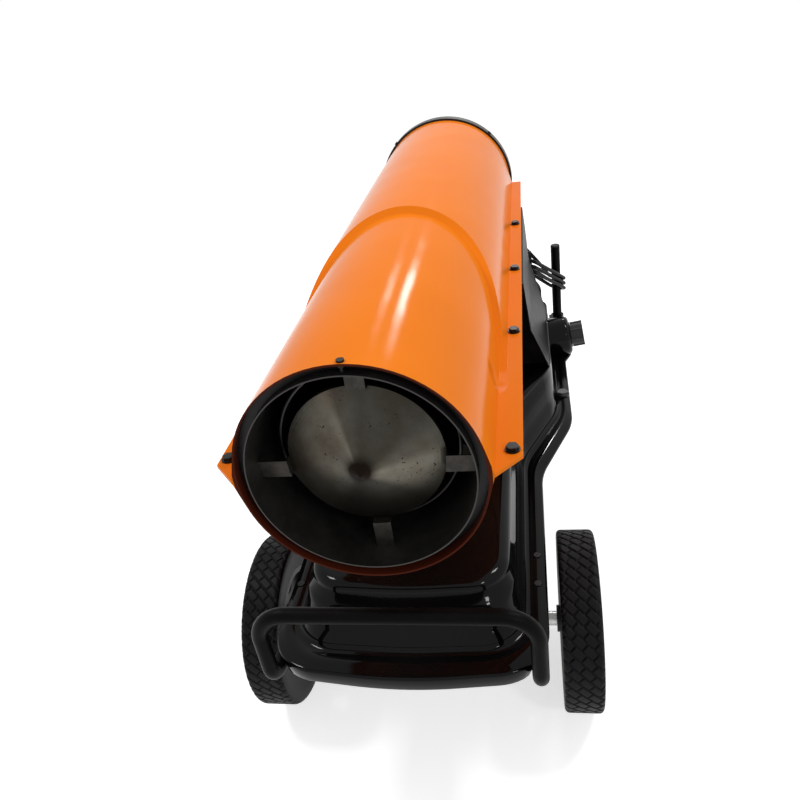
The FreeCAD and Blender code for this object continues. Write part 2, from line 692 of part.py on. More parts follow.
def filler_boss(wall):
    """The round swelling that carries the filler, drawn in by a wall's thickness and kept above the rim."""
    radius = value("boss_radius") - wall
    swelling = Part.makeCylinder(radius, value("boss_length + boss_root") - wall)
    swelling = swelling.makeFillet(value("boss_round") - wall, [swelling.Edges[0]])
    swelling.Placement = FreeCAD.Placement(point(*on_boss("-boss_root")), boss_turn)
    above = Part.makeBox(*[4 * value("boss_radius")] * 3)
    above.translate(point("boss_x - 2 * boss_radius", along("boss_place - 2 * boss_radius"), "rim_height"))
    return swelling.common(above)


def front_lip():
    """The rim's front edge turned down between the handle's legs."""
    edge = tank_outline("rim", "corner_radius", "rim_height - rim_sheet - lip_height")
    hem = Part.Face(edge).cut(Part.Face(edge.makeOffset2D(-value("lip_sheet"))))
    span = Part.makeBox(value("2 * lip_reach"), value("lip_depth + overrun"), value("rim_height"))
    span.translate(point("-lip_reach", along("-overrun"), "0"))
    return hem.extrude(FreeCAD.Vector(0, 0, value("lip_height"))).common(span)


boss_turn = FreeCAD.Rotation(FreeCAD.Vector(0, 1, 0), value("boss_angle"))


def on_boss(distance):
    """A point on the filler's axis, a distance out from the tank's wall."""
    return ("boss_x + (%s) * sin(boss_angle)" % distance, along("boss_place"),
            "boss_height + (%s) * cos(boss_angle)" % distance)


wall_thickness = value("tank_wall")
tank_upper_shape = drawn(
    rim_plate("rim_height").fuse(tank_block("top", "tank_top", 0)).fuse(filler_boss(0))
    .cut(tank_block("top", "tank_top", wall_thickness)).cut(filler_boss(wall_thickness)).removeSplitter())
tank_lower_shape = drawn(
    rim_plate("rim_height - rim_sheet").fuse(tank_block("floor", "tank_bottom", 0)).fuse(front_lip())
    .cut(tank_block("floor", "tank_bottom", wall_thickness)).removeSplitter())

# Filler: a neck out of the upper half's right wall under a finned screw cap, a level gauge on the
# rim's shoulder, a pickup in the tank's top and a drain plug in its floor.

filler_sizes = {
    "neck_radius": 20, "neck_wall": 2.5, "neck_rise": 13, "neck_collar": 26,
    "neck_collar_height": 1.5, "cap_radius": 25, "cap_length": 24, "cap_ribs": 8, "cap_rib": 2,
    "cap_seat": 11, "gauge_x": 224, "gauge_place": 655, "gauge_radius": 12.5, "gauge_height": 9,
    "gauge_lens": 10, "gauge_lens_height": 1.5, "drain_place": 880, "drain_radius": 9,
    "drain_height": 8, "drain_thread": 5, "pickup_radius": 7, "pickup_hex": 13,
    "pickup_hex_height": 10, "pickup_foot": 150, "hose_radius": 6, "hose_bend": 24,
    "gauge_step_share": 0.7, "gauge_bore_share": 0.9,
}
sizes(filler_sizes)

neck_bore = cylinder("neck_radius - neck_wall", "boss_length + neck_rise", *on_boss("boss_length / 2"),
                     boss_turn)
node("filler_neck", cut(
    fuse(cylinder("neck_radius", "neck_rise", *on_boss("boss_length"), boss_turn),
         cylinder("neck_collar", "neck_collar_height", *on_boss("boss_length"), boss_turn)), neck_bore))
cap_foot = "boss_length + neck_rise - cap_seat"
cap_skirt = cylinder("cap_radius", "cap_length", *on_boss(cap_foot), boss_turn)
cap_fins = []
for number in range(int(value("cap_ribs"))):
    fin = cylinder("cap_rib", "cap_length", "cap_radius * cos(360 * %d / cap_ribs)" % number,
                   "cap_radius * sin(360 * %d / cap_ribs)" % number, "0")
    cap_fins.append(fin)
fins = put(fuse(*cap_fins), *on_boss(cap_foot), boss_turn)
node("fuel_cap", cut(fuse(cap_skirt, fins),
                     cylinder("neck_radius + clearance", "cap_seat + clearance", *on_boss(cap_foot),
                              boss_turn)))
tank_openings = [
    neck_bore,
    cylinder("pickup_radius + clearance", "4 * tank_wall", "pickup_x", along("pickup_place"),
             "tank_top - 2 * tank_wall")]
node("fuel_gauge", fuse(
    turned([("0", "0"), ("gauge_radius", "0"), ("gauge_radius", "gauge_height * gauge_step_share"),
            ("gauge_lens", "gauge_height"), ("0", "gauge_height")],
           "gauge_x", along("gauge_place"), "rim_height + rim_sheet"),
    cylinder("gauge_lens * gauge_bore_share", "gauge_height + gauge_lens_height", "gauge_x",
             along("gauge_place"),
             "rim_height + rim_sheet")))
node("drain_plug", fuse(
    hexagon("drain_radius", "drain_height", "0", along("drain_place"), "tank_bottom - drain_height"),
    cylinder("drain_thread", "tank_wall + overrun", "0", along("drain_place"), "tank_bottom")))
node("fuel_pickup", fuse(
    cylinder("pickup_radius", "tank_top - pickup_foot", "pickup_x", along("pickup_place"), "pickup_foot"),
    hexagon("pickup_hex", "pickup_hex_height", "pickup_x", along("pickup_place"), "tank_top")))
hose_path = route([point("pickup_x", along("pickup_place"), "tank_top + pickup_hex_height"),
                   point("pickup_x", along("pickup_place"), "axis_height"),
                   point("pump_radius + pump_outlet_height", along("pickup_place"), "axis_height")],
                  [value("hose_bend")])
node("suction_hose", drawn(swept(hose_path, value("hose_radius"))))

# The finished shells: the upper one has the outlet ring's screw holes, the lower one the hose's hole.

liner_hole = round_barrel("trim_screw_radius + clearance", "4 * sheet", "front_radius - 3 * sheet",
                          "trim_screw_angle", "trim_screw_place")
liner_screw = fuse(
    round_barrel("trim_screw_head", "trim_screw_head_height", "front_radius", "trim_screw_angle",
                 "trim_screw_place"),
    round_barrel("trim_nut", "trim_nut_height", "front_radius - sheet - trim_nut_height - clearance",
                 "trim_screw_angle", "trim_screw_place"),
    round_barrel("trim_screw_radius", "front_radius - liner_radius - clearance", "liner_radius + clearance",
                 "trim_screw_angle", "trim_screw_place"))
node("upper_shell", cut(half_shell, liner_hole))
node("lower_shell", cut(
    mirrored(half_shell, FreeCAD.Vector(0, 0, 1), "axis_height"),
    cylinder("hose_radius + clearance", "rear_radius", "pickup_x", along("pickup_place"),
             "axis_height - rear_radius")))

# Pedestal: four folded panels between the tank and the barrel. The side panels lean in and end
# in a lip under the barrel's flange; the front and rear panels cradle the lower shell.

pedestal_sizes = {
    "panel_sheet": 2, "panel_foot": 202, "panel_waist": 172, "waist_share": 0.5,
    "waist_rise": "=(axis_height - sheet - tank_top) * waist_share", "panel_crown": 165,
    "panel_front": 640, "panel_rear": 899, "panel_top_front": 480, "panel_top_rear": 870,
    "knee_drop": 58, "panel_knee": "=axis_height - tank_top - knee_drop", "panel_lip": 14,
    "cradle_drop": 71, "cradle_rise": "=axis_height - tank_top - cradle_drop", "cradle_front": 660,
    "cradle_rear": 895,
}
sizes(pedestal_sizes)

crown_rise = "(axis_height - sheet - tank_top)"
strip = padded([
    ("panel_foot - panel_sheet", "0"), ("panel_foot", "0"), ("panel_waist", "waist_rise"),
    ("panel_crown", crown_rise),
    ("panel_crown - panel_lip", crown_rise), ("panel_crown - panel_lip", crown_rise + " - panel_sheet"),
    ("panel_crown - panel_sheet", crown_rise + " - panel_sheet"),
    ("panel_waist - panel_sheet", "waist_rise")],
    "panel_rear", "0", along("panel_rear"), "tank_top", FACING_FRONT)
side_view = padded([("panel_front", "0"), ("panel_rear", "0"), ("panel_rear", "panel_knee"),
                    ("panel_top_rear", crown_rise),
                    ("panel_top_front", crown_rise)], "panel_foot + overrun", "0", "-half_length",
                    "tank_top", FACING_RIGHT)
nut_notches = [cylinder("screw_head + 2 * clearance", "2 * screw_nut_height", "screw_line", along(place),
                        "axis_height - sheet - 2 * screw_nut_height + overrun / 2")
               for place in screw_places[2:]]
right_panel = cut(common(strip, side_view), *nut_notches)
node("pedestal_right", right_panel)
node("pedestal_left", mirrored(right_panel, FreeCAD.Vector(1, 0, 0)))

inset = "(panel_sheet + clearance)"
crown_lean = "(panel_waist - panel_crown) / (%s - waist_rise)" % crown_rise
cradle_top = "(panel_waist - (cradle_rise - waist_rise) * %s - %s)" % (crown_lean, inset)
right_edge = [("panel_foot - " + inset, "0"), ("panel_waist - " + inset, "waist_rise"),
              (cradle_top, "cradle_rise")]
cradle = right_edge + [("-(%s)" % x, z) for x, z in reversed(right_edge)]


def cradle_panel(place):
    return cut(padded(cradle, "panel_sheet", "0", along(place + " + panel_sheet"), "tank_top",
                      FACING_FRONT),
               cylinder("rear_radius + clearance", "2 * half_length", "0", "-half_length", "axis_height",
                        BACK))


node("pedestal_front", cradle_panel("cradle_front"))
panel_face = "cradle_rear + panel_sheet"

# Controls on the rear panel: a room thermostat with its knob, a rocker switch, and the gland
# of the power cord. The transformer and the control board stand inside.

control_sizes = {
    "control_height": 48, "thermostat_x": -70, "thermostat_side": 36, "thermostat_depth": 24,
    "spindle_radius": 3, "knob_radius": 19, "knob_length": 16, "knob_gap": 1, "pointer_width": 4,
    "switch_x": 20, "switch_width": 22, "switch_height": 30, "switch_rim": 3, "switch_depth": 22,
    "rocker_width": 16, "rocker_height": 23, "rocker_depth": 7, "rocker_tilt": 8, "rocker_gap": 1,
    "transformer_length": 90, "transformer_width": 60, "transformer_height": 64,
    "transformer_x": -60, "transformer_place": 760, "board_length": 120, "board_width": 80,
    "board_sheet": 2, "board_x": -60, "board_place": 835, "board_post": 8, "chip_height": 16,
    "pointer_length_share": 0.8, "pointer_reach_share": 0.9, "pointer_place_share": 0.7,
    "knob_foot_share": 0.3, "knob_top_share": 0.8, "board_post_share": 0.417,
}
sizes(control_sizes)

control_z = "tank_top + control_height"
spindle_hole = cylinder("spindle_radius + running_gap", "4 * panel_sheet", "thermostat_x",
                        along("cradle_rear - panel_sheet"),
                        control_z, BACK)
switch_hole = box("switch_width", "4 * panel_sheet", "switch_height", "switch_x", along(panel_face),
                  control_z + " - switch_height / 2")
node("thermostat_body", box("thermostat_side", "thermostat_depth", "thermostat_side", "thermostat_x",
                            along("cradle_rear - thermostat_depth / 2"),
                            control_z + " - thermostat_side / 2"))
knob_place = panel_face + " + knob_gap"
pointer = box("pointer_width", "knob_length * pointer_length_share", "knob_radius * pointer_reach_share",
              "thermostat_x",
              along(knob_place + " + knob_length * pointer_place_share"), control_z)
node("thermostat_knob", fuse(
    turned([("0", "0"), ("knob_radius", "0"), ("knob_radius", "knob_length * knob_foot_share"),
            ("knob_radius * knob_top_share", "knob_length"),
            ("0", "knob_length")], "thermostat_x", along(knob_place), control_z, BACK), pointer,
    cylinder("spindle_radius", "panel_sheet + knob_gap + overrun", "thermostat_x", along("cradle_rear"),
             control_z, BACK)))
rim_width = "(switch_width + 2 * switch_rim)"
switch_frame_height = "(switch_height + 2 * switch_rim)"
node("switch_housing", cut(
    fuse(box("switch_width - clearance", "switch_depth", "switch_height - 2 * clearance", "switch_x",
             along(panel_face + " - switch_depth / 2"), control_z + " - switch_height / 2 + clearance"),
         box(rim_width, "switch_rim", switch_frame_height, "switch_x",
             along(panel_face + " + switch_rim / 2"),
             control_z + " - %s / 2" % switch_frame_height)),
    box("rocker_width + 2 * rocker_gap", "2 * rocker_depth", "rocker_height + 2 * rocker_gap", "switch_x",
        along(panel_face + " + switch_rim"), control_z + " - rocker_height / 2 - rocker_gap")))
rocker = padded([("-rocker_height / 2", "-rocker_depth / 2"), ("rocker_height / 2", "-rocker_depth / 2"),
                 ("rocker_height / 2", "rocker_depth / 2"), ("0", "rocker_depth / 4"),
                 ("-rocker_height / 2", "rocker_depth / 2")], "rocker_width")
rocker_turn = FreeCAD.Rotation(FreeCAD.Vector(1, 0, 0), value("rocker_tilt")).multiply(
    FreeCAD.Rotation(FreeCAD.Vector(0, 0, 1), FreeCAD.Vector(0, 1, 0), FreeCAD.Vector(-1, 0, 0), "ZXY"))
node("power_switch", put(rocker, "switch_x + rocker_width / 2", along(panel_face + " + switch_rim"),
                         control_z,
                         rocker_turn))
node("ignition_transformer", box("transformer_length", "transformer_width", "transformer_height",
                                 "transformer_x",
                                 along("transformer_place"), "tank_top"))
board_z = "tank_top + board_post"
node("control_board", fuse(
    box("board_length", "board_width / 2", "board_sheet", "board_x", along("board_place"), board_z),
    box("board_length / 4", "board_width / 4", "chip_height", "board_x - board_length / 4",
        along("board_place"),
        board_z + " + board_sheet"),
    *[cylinder("board_post / 3", "board_post", "board_x + %d * board_length * board_post_share" % side,
               along("board_place"), "tank_top")
      for side in (-1, 1)]))

# Wheels: plain axle under the tank in two brackets, a spacer sleeve, a spoked hub and a solid
# tyre on each side, and a cap on each axle end.

wheel_sizes = {
    "axle_radius": 8, "axle_place": 199, "axle_height": 127, "axle_reach": 243,
    "axle_bracket_x": 118, "axle_bracket_width": 36, "axle_bracket_length": 46,
    "axle_bracket_drop": 12, "wheel_x": 221, "tyre_radius": 127, "tyre_width": 53, "tyre_inner": 78,
    "tyre_bead": 40, "shoulder_radius": 7, "tread_depth": 5, "hub_boss": 19, "hub_boss_inner": 31,
    "hub_boss_outer": 16, "hub_rim": 8, "hub_web": 6, "hub_holes": 6, "hub_hole": 13,
    "hub_hole_ring": 48, "spacer_radius": 10.5, "axle_cap_radius": 15, "axle_cap_start": 238,
    "axle_cap_end": 247.5, "axle_cap_grip": 0.15,
}
sizes(wheel_sizes)

ROAD = along("axle_place")


def sideways(radius, start, finish):
    """A bar along X between two places on the axle's line."""
    return cylinder(radius, "(%s) - (%s)" % (finish, start), start, ROAD, "axle_height", RIGHT)


node("axle", sideways("axle_radius", "-axle_reach", "axle_reach"))
brackets = [cut(box("axle_bracket_width", "axle_bracket_length",
                    "tank_bottom - axle_height + axle_bracket_drop",
                    x, ROAD, "axle_height - axle_bracket_drop"),
                sideways("axle_radius + axle_cap_grip", "-axle_reach", "axle_reach")) for x in
            ("axle_bracket_x", "-axle_bracket_x")]
node("axle_brackets", group(brackets))


def tyre(x):
    half = "tyre_width / 2"
    bead = "tyre_bead / 2"
    outer = "tyre_radius - shoulder_radius"
    return turned([
        ("tyre_inner", "-" + bead), ("tyre_inner + tread_depth", "-" + bead),
        (outer + " - tread_depth", "-" + half),
        (outer, "-" + half), ("tyre_radius", "-%s + shoulder_radius" % half, "shoulder_radius", "left"),
        ("tyre_radius", half + " - shoulder_radius"), (outer, half, "shoulder_radius", "left"),
        (outer + " - tread_depth", half), ("tyre_inner + tread_depth", bead), ("tyre_inner", bead)],
        x, ROAD, "axle_height", RIGHT)


def hub(x):
    """A boss with a bore, a thin web with lightening holes, and the rim that carries the tyre."""
    bead = "tyre_bead / 2"
    rim_inner = "tyre_inner - clearance - hub_rim"
    wheel = turned([
        ("axle_radius + running_gap", "-hub_boss_inner"), ("hub_boss", "-hub_boss_inner"),
        ("hub_boss", "-hub_web / 2"),
        (rim_inner, "-hub_web / 2"), (rim_inner, "-" + bead), ("tyre_inner - clearance", "-" + bead),
        ("tyre_inner - clearance", bead), (rim_inner, bead), (rim_inner, "hub_web / 2"),
        ("hub_boss", "hub_web / 2"),
        ("hub_boss", "hub_boss_outer"), ("axle_radius + running_gap", "hub_boss_outer")], x, ROAD,
        "axle_height", RIGHT)
    holes = [cylinder("hub_hole", "tyre_width", "%s - tyre_width / 2" % x,
                      ROAD + " + hub_hole_ring * cos(360 * %d / hub_holes)" % number,
                      "axle_height + hub_hole_ring * sin(360 * %d / hub_holes)" % number, RIGHT)
             for number in range(int(value("hub_holes")))]
    return cut(wheel, fuse(*holes))


node("tyre_right", tyre("wheel_x"))
node("tyre_left", tyre("-wheel_x"))
hub_right = node("hub_right", hub("wheel_x"))
node("hub_left", mirrored(hub_right, FreeCAD.Vector(1, 0, 0)))

boss_inside = "wheel_x - hub_boss_inner - clearance"
bracket_outside = "axle_bracket_x + axle_bracket_width / 2"
sleeve = cut(sideways("spacer_radius", bracket_outside, boss_inside),
             sideways("axle_radius + axle_cap_grip", "-axle_reach", "axle_reach"))
node("wheel_spacers", group([sleeve, mirrored(sleeve, FreeCAD.Vector(1, 0, 0))]))
axle_cap = cut(turned([
    ("0", "axle_cap_start"), ("axle_cap_radius", "axle_cap_start"),
    ("axle_cap_radius", "axle_cap_end - overrun"),
    ("axle_cap_radius - overrun", "axle_cap_end"), ("0", "axle_cap_end")], "0", ROAD, "axle_height", RIGHT),
    sideways("axle_radius + axle_cap_grip", "-axle_reach", "axle_reach + axle_cap_grip"))
node("axle_caps", group([axle_cap, mirrored(axle_cap, FreeCAD.Vector(1, 0, 0))]))

# Tubes: the front handle is bent from one tube that runs back under the rim, and the rear stand
# is one U-shaped tube on rubber feet whose two open ends stand up as cord posts.

bar_sizes = {
    "bar_radius": 10, "bar_wall": 2, "handle_place": 10, "handle_height": 334, "handle_x": 167,
    "handle_bend": 40, "handle_foot_bend": 28, "handle_end": 240, "bolt_radius": 3,
    "bolt_head": 5.5, "bolt_head_height": 4.5, "bolt_x": 167, "bolt_first": 160, "bolt_second": 215,
    "bolt_washer": 7, "bolt_washer_height": 1.2, "post_x": 230, "post_place": 1035,
    "post_top": 391.5, "stand_bend": 50, "stand_height": 20, "post_cap_height": 3,
    "foot_length": 46, "foot_width": 34, "foot_height": 34, "foot_x": 120, "clamp_width": 26,
    "clamp_sheet": 4, "clamp_start": 940, "clamp_collar": 14.5, "clamp_collar_height": 26,
    "clamp_bolt_x": 224, "clamp_bolt_place": 972,
}
sizes(bar_sizes)

run_height = "rim_height - rim_sheet - bar_radius"
handle_right = [("handle_x", along("handle_end"), run_height),
("handle_x", along("handle_place"), run_height),
                ("handle_x", along("handle_place"), "handle_height")]
handle_points = [point(*spot) for spot in handle_right]
handle_points += [FreeCAD.Vector(-spot.x, spot.y, spot.z) for spot in reversed(handle_points)]
handle_bends = [value(name) for name in ("handle_foot_bend", "handle_bend", "handle_bend",
                                         "handle_foot_bend")]
handle_tube = drawn(swept(route(handle_points, handle_bends), value("bar_radius"),
                          value("bar_radius - bar_wall")))
bolt_spots = [(side + "bolt_x", along(place)) for side in ("", "-") for place in ("bolt_first",
                                                                                  "bolt_second")]
clamp_spots = [(side + "clamp_bolt_x", along("clamp_bolt_place")) for side in ("", "-")]
bolt_bottom = run_height + " - bar_radius"


def bolt_holes(spots):
    return fuse(*[cylinder("bolt_radius + clearance", "rim_height", x, y, "rim_height - 4 * bar_radius")
                  for x, y in spots])


def bolt(x, y, low):
    seat_z = "rim_height + rim_sheet"
    return fuse(hexagon("bolt_head", "bolt_head_height", x, y, seat_z + " + bolt_washer_height"),
                cylinder("bolt_washer", "bolt_washer_height", x, y, seat_z),
                cylinder("bolt_radius", "%s - (%s)" % (seat_z, low), x, y, low),
                hexagon("bolt_head", "bolt_head_height", x, y, "%s - bolt_head_height" % low))


node("front_handle", cut(handle_tube, bolt_holes(bolt_spots)))
clamp_low = "rim_height - rim_sheet - clamp_sheet"
node("frame_bolts", group([bolt(x, y, bolt_bottom) for x, y in bolt_spots]
                          + [bolt(x, y, clamp_low) for x, y in clamp_spots]))
rim_holes = bolt_holes(bolt_spots + clamp_spots)
node("tank_upper", cut(tank_upper_shape, rim_holes, *tank_openings))
node("tank_lower", cut(
    tank_lower_shape, rim_holes,
    cylinder("drain_thread + clearance", "4 * tank_wall", "0", along("drain_place"),
             "tank_bottom - 2 * tank_wall")))

stand_right = [point("post_x", along("post_place"), "post_top"), point("post_x", along("post_place"),
                                                                       "stand_height")]
stand_points = stand_right + [FreeCAD.Vector(-spot.x, spot.y, spot.z) for spot in reversed(stand_right)]
node("rear_stand", drawn(swept(route(stand_points, [value("stand_bend")] * 2), value("bar_radius"),
                               value("bar_radius - bar_wall"))))
post_line = along("post_place")
node("post_caps", group([turned([
    ("0", "0"), ("bar_radius", "0"), ("bar_radius", "post_cap_height / 2"),
    ("bar_radius - post_cap_height / 2", "post_cap_height"),
    ("0", "post_cap_height")], x, post_line, "post_top") for x in ("post_x", "-post_x")]))
node("stand_feet", group([cut(
    box("foot_length", "foot_width", "foot_height", x, post_line, "0"),
    cylinder("bar_radius + clearance", "2 * half_length", "-half_length", post_line, "stand_height", RIGHT))
    for x in ("foot_x", "-foot_x")]))
clamps = [cut(fuse(
    box("clamp_width", "post_place - clamp_start", "clamp_sheet", side + "clamp_bolt_x",
        along("(post_place + clamp_start) / 2"), clamp_low),
    cylinder("clamp_collar", "clamp_collar_height", side + "post_x", post_line,
             "rim_height - rim_sheet - clamp_collar_height")),
    cylinder("bar_radius + clearance", "rim_height", side + "post_x", post_line, "rim_height / 2"),
    bolt_holes(clamp_spots))
    for side in ("", "-")]
node("stand_clamps", group(clamps))

# Guard screws, with the outlet ring's screw in one group

guard_screw_angles = ["45", "135", "225", "315"]
lip_screws = [fuse(
    round_barrel("trim_screw_head", "trim_screw_head_height", "rear_radius + clearance + rear_ring_sheet",
                 angle,
                 "(rear_ring_start + shell_length) / 2"),
    round_barrel("trim_screw_radius", "rear_ring_sheet", "rear_radius + clearance", angle,
                 "(rear_ring_start + shell_length) / 2")) for angle in guard_screw_angles]
ring_screw_holes = [round_barrel("trim_screw_radius + clearance", "rear_ring_sheet + 2 * overrun",
                                 "rear_radius + clearance - overrun", angle,
                                 "(rear_ring_start + shell_length) / 2")
                    for angle in guard_screw_angles]
node("rear_ring", cut(rear_ring, fuse(*ring_screw_holes)))
node("trim_screws", group([liner_screw] + lip_screws))

# Power cord: it leaves a gland in the rear panel, winds three times round the hook and the right
# post, one layer below another, and hangs down to its plug behind the tank.

cord_sizes = {
    "cord_radius": 4, "gland_x": 148, "gland_drop": 98, "gland_z": "=axis_height - gland_drop",
    "gland_radius": 9, "gland_tip": 6.5,
    "gland_length": 24, "gland_nut": 12, "gland_nut_height": 5, "hook_x": 170, "hook_place": 926,
    "hook_drop": 146, "hook_z": "=axis_height - hook_drop", "hook_width": 16, "hook_sheet": 3,
    "hook_lower": 30, "hook_low": "=hook_z - hook_lower", "hook_upper": 32,
    "hook_high": "=hook_z + hook_upper",
    "hook_plate": 40, "wind_z": 305, "wind_radius": 18.5, "wind_top": 16, "wind_pitch": 12,
    "wind_turns": 3, "plug_x": 192, "plug_place": 1052, "plug_top": 240, "plug_radius": 17,
    "plug_length": 36, "plug_relief": 20, "pin_radius": 2.4, "pin_length": 19, "pin_spread": 9.5,
    "relief_root_share": 0.75, "relief_tip_share": 1.3,
}
sizes(cord_sizes)

node("pedestal_rear", cut(
    cradle_panel("cradle_rear"), spindle_hole, switch_hole,
    cylinder("gland_radius", "4 * panel_sheet", "gland_x", along("cradle_rear - panel_sheet"), "gland_z",
             BACK)))
node("cord_gland", fuse(
    cylinder("gland_radius", "panel_sheet + overrun", "gland_x", along("cradle_rear - overrun"),
             "gland_z", BACK),
    hexagon("gland_nut", "gland_nut_height", "gland_x", along(panel_face), "gland_z", BACK),
    cone("gland_radius", "gland_tip", "gland_length - gland_nut_height", "gland_x",
         along(panel_face + " + gland_nut_height"), "gland_z", BACK)))
hook_line = along("hook_place")
hook_arm = "hook_place - (%s)" % panel_face
node("cord_hook", fuse(
    box("hook_width", "hook_sheet", "hook_plate", "hook_x", along(panel_face + " + hook_sheet / 2"),
        "hook_low - hook_plate / 2"),
    box("hook_width", hook_arm, "hook_sheet", "hook_x", along(panel_face + " + (%s) / 2" % hook_arm),
        "hook_low"),
    box("hook_width", "hook_sheet", "hook_high - hook_low", "hook_x", hook_line, "hook_low")))

UPWARD = FreeCAD.Vector(0, 0, 1)
hook_spot = point("hook_x", along("hook_place"), "hook_z")
post_spot = point("post_x", along("post_place"), "wind_z")
run_vector = post_spot - hook_spot
run_direction = FreeCAD.Vector(run_vector).normalize()
across = UPWARD.cross(run_direction).normalize()
bend = value("wind_radius")
loop_length = 2 * run_vector.Length + 2 * math.pi * bend
fall = value("wind_pitch") / loop_length


def wound(spot, out, sideways_share, travelled):
    """A point of the winding by an end of it, with the cord's direction there."""
    direction = (across * -out + run_direction * sideways_share) - UPWARD * fall
    place = spot + run_direction * bend * out + across * bend * sideways_share
    return place + UPWARD * (value("wind_top") - fall * travelled), direction.normalize()


waypoints = [(point("gland_x", along(panel_face + " + gland_length"), "gland_z"), FreeCAD.Vector(0, 1, 0))]
travelled = 0
for turn in range(int(value("wind_turns"))):
    for spot, heading in ((post_spot, 1), (hook_spot, -1)):
        for out, sideways_share in ((0, heading), (heading, 0), (0, -heading)):
            waypoints.append(wound(spot, out, sideways_share, travelled))
            travelled += math.pi * bend / 2 if (out, sideways_share) != (0, -heading) else run_vector.Length
waypoints.append((point("plug_x", along("plug_place"), "plug_top"), FreeCAD.Vector(0, 0, -1)))


def bow(start, direction, finish):
    """The edge from a start with a direction to a finish: an arc, or a line where it runs straight."""
    chord = finish - start
    straight = FreeCAD.Vector(chord).normalize()
    lean = direction.getAngle(chord)
    if lean < 1e-4:
        return Part.LineSegment(start, finish).toShape()
    outward = (direction - straight * direction.dot(straight)).normalize()
    middle = (start + finish) / 2 + outward * (chord.Length / 2 * math.tan(lean / 2))
    return Part.Arc(start, middle, finish).toShape()


def biarc(start, direction, finish, far_direction):
    """Two arcs that join smoothly, from one point and direction to another."""
    chord = finish - start
    both = direction + far_direction
    spread = 2 * (1 - direction.dot(far_direction))
    if spread < 1e-9:
        reach = chord.dot(chord) / (4 * chord.dot(far_direction))
    else:
        reach = (math.sqrt(chord.dot(both) ** 2 + spread * chord.dot(chord)) - chord.dot(both)) / spread
    joint = (start + direction * reach + finish - far_direction * reach) / 2
    return [bow(start, direction, joint), bow(joint, (joint - start - direction * reach).normalize(),
                                              finish)]


cord_edges = []
for (start, direction), (finish, far_direction) in zip(waypoints, waypoints[1:]):
    cord_edges += biarc(start, direction, finish, far_direction)
cord_path = Part.Wire(cord_edges)
cord_solid = swept(cord_path, value("cord_radius"))
node("power_cord", drawn(cord_solid))

cord_points = cord_path.discretize(Distance=value("cord_radius"))
step = cord_path.Length / (len(cord_points) - 1)
skip = int(6 * value("cord_radius") / step) + 1
least = min((first - second).Length for index,
            first in enumerate(cord_points) for second in cord_points[index + skip:])
print("cord length %.0f, least gap to itself %.2f, volume by section and length %.4f" % (
    cord_path.Length, least - 2 * value("cord_radius"),
    cord_solid.Volume / (math.pi * value("cord_radius") ** 2 * cord_path.Length)))

plug_line = along("plug_place")
plug_low = "plug_top - plug_relief - plug_length"
node("power_plug", fuse(
    cone("plug_radius * relief_root_share", "cord_radius * relief_tip_share", "plug_relief", "plug_x",
         plug_line, "plug_top - plug_relief"),
    cylinder("plug_radius", "plug_length", "plug_x", plug_line, plug_low),
    *[cylinder("pin_radius", "pin_length + overrun", "plug_x + %d * pin_spread" % side, plug_line,
               plug_low + " - pin_length")
      for side in (-1, 1)]))

# Every piece is tested, then written to its own file.

doc.recompute()
for piece in doc.Objects:
    if "Invalid" in piece.State or "Error" in piece.State:
        raise RuntimeError("%s failed: %s" % (piece.Label, piece.State))
for name, piece in nodes.items():
    if piece.Shape.isNull() or not piece.Shape.isValid() or not piece.Shape.Solids:
        raise RuntimeError("%s has no valid solid" % name)
os.makedirs("parts", exist_ok=True)
for name, piece in nodes.items():
    piece.Shape.exportStep("parts/%s.step" % name)
print(len(nodes), "nodes")
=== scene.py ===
"""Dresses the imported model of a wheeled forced-air oil heater, seen from its hot-air outlet.

Metres, in the model's own frame: +Z up, the outlet towards -Y, +X on the right seen from the outlet.
"""
import math
import bpy
import numpy as np
from mathutils import Matrix, Vector


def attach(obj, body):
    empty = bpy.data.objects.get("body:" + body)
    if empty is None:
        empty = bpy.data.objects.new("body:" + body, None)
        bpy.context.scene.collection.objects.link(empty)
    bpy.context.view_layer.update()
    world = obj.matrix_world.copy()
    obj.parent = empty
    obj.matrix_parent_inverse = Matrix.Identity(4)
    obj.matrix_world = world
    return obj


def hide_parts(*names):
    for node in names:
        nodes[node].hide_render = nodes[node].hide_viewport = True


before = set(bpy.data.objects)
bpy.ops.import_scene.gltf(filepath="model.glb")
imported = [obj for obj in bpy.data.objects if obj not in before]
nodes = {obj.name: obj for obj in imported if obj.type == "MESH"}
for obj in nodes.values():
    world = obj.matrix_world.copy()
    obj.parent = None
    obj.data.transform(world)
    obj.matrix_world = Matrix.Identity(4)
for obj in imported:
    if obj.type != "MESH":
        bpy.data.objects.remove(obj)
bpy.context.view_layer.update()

scene = bpy.context.scene

# Barrel shells: two halves of pressed steel sheet, screwed together at the flanges. They are sprayed
# in a glossy orange enamel that shows a faint peel, soft ripples and one shallow dent. Inside the shell
# and on its cut front edge the colour is painted shade, a dark red-brown.

BARREL_HEIGHT = 0.538
ORANGE = (0.87, 0.214, 0.0115)
ORANGE_DEEP = (0.84, 0.202, 0.0100)
# Painted shade: the dark red-brown given to the inside of the shell and its cut front edge.
INSIDE_PAINTED_SHADE = (0.085, 0.016, 0.007)
INSIDE_RADIUS = 0.1303
EDGE_THICKNESS = 0.003
EDGE_PLANE = -0.5510
DENT = (0.131, -0.384, 0.556)
DENT_SPREAD = 0.022
DENT_SHARE = -4.0
LOW_TONE_AT = 0.3
HIGH_TONE_AT = 0.7
MIX_FIRST = 6
MIX_SECOND = 7
MIX_RESULT = 2


def link(tree, start, finish):
    tree.links.new(start, finish)


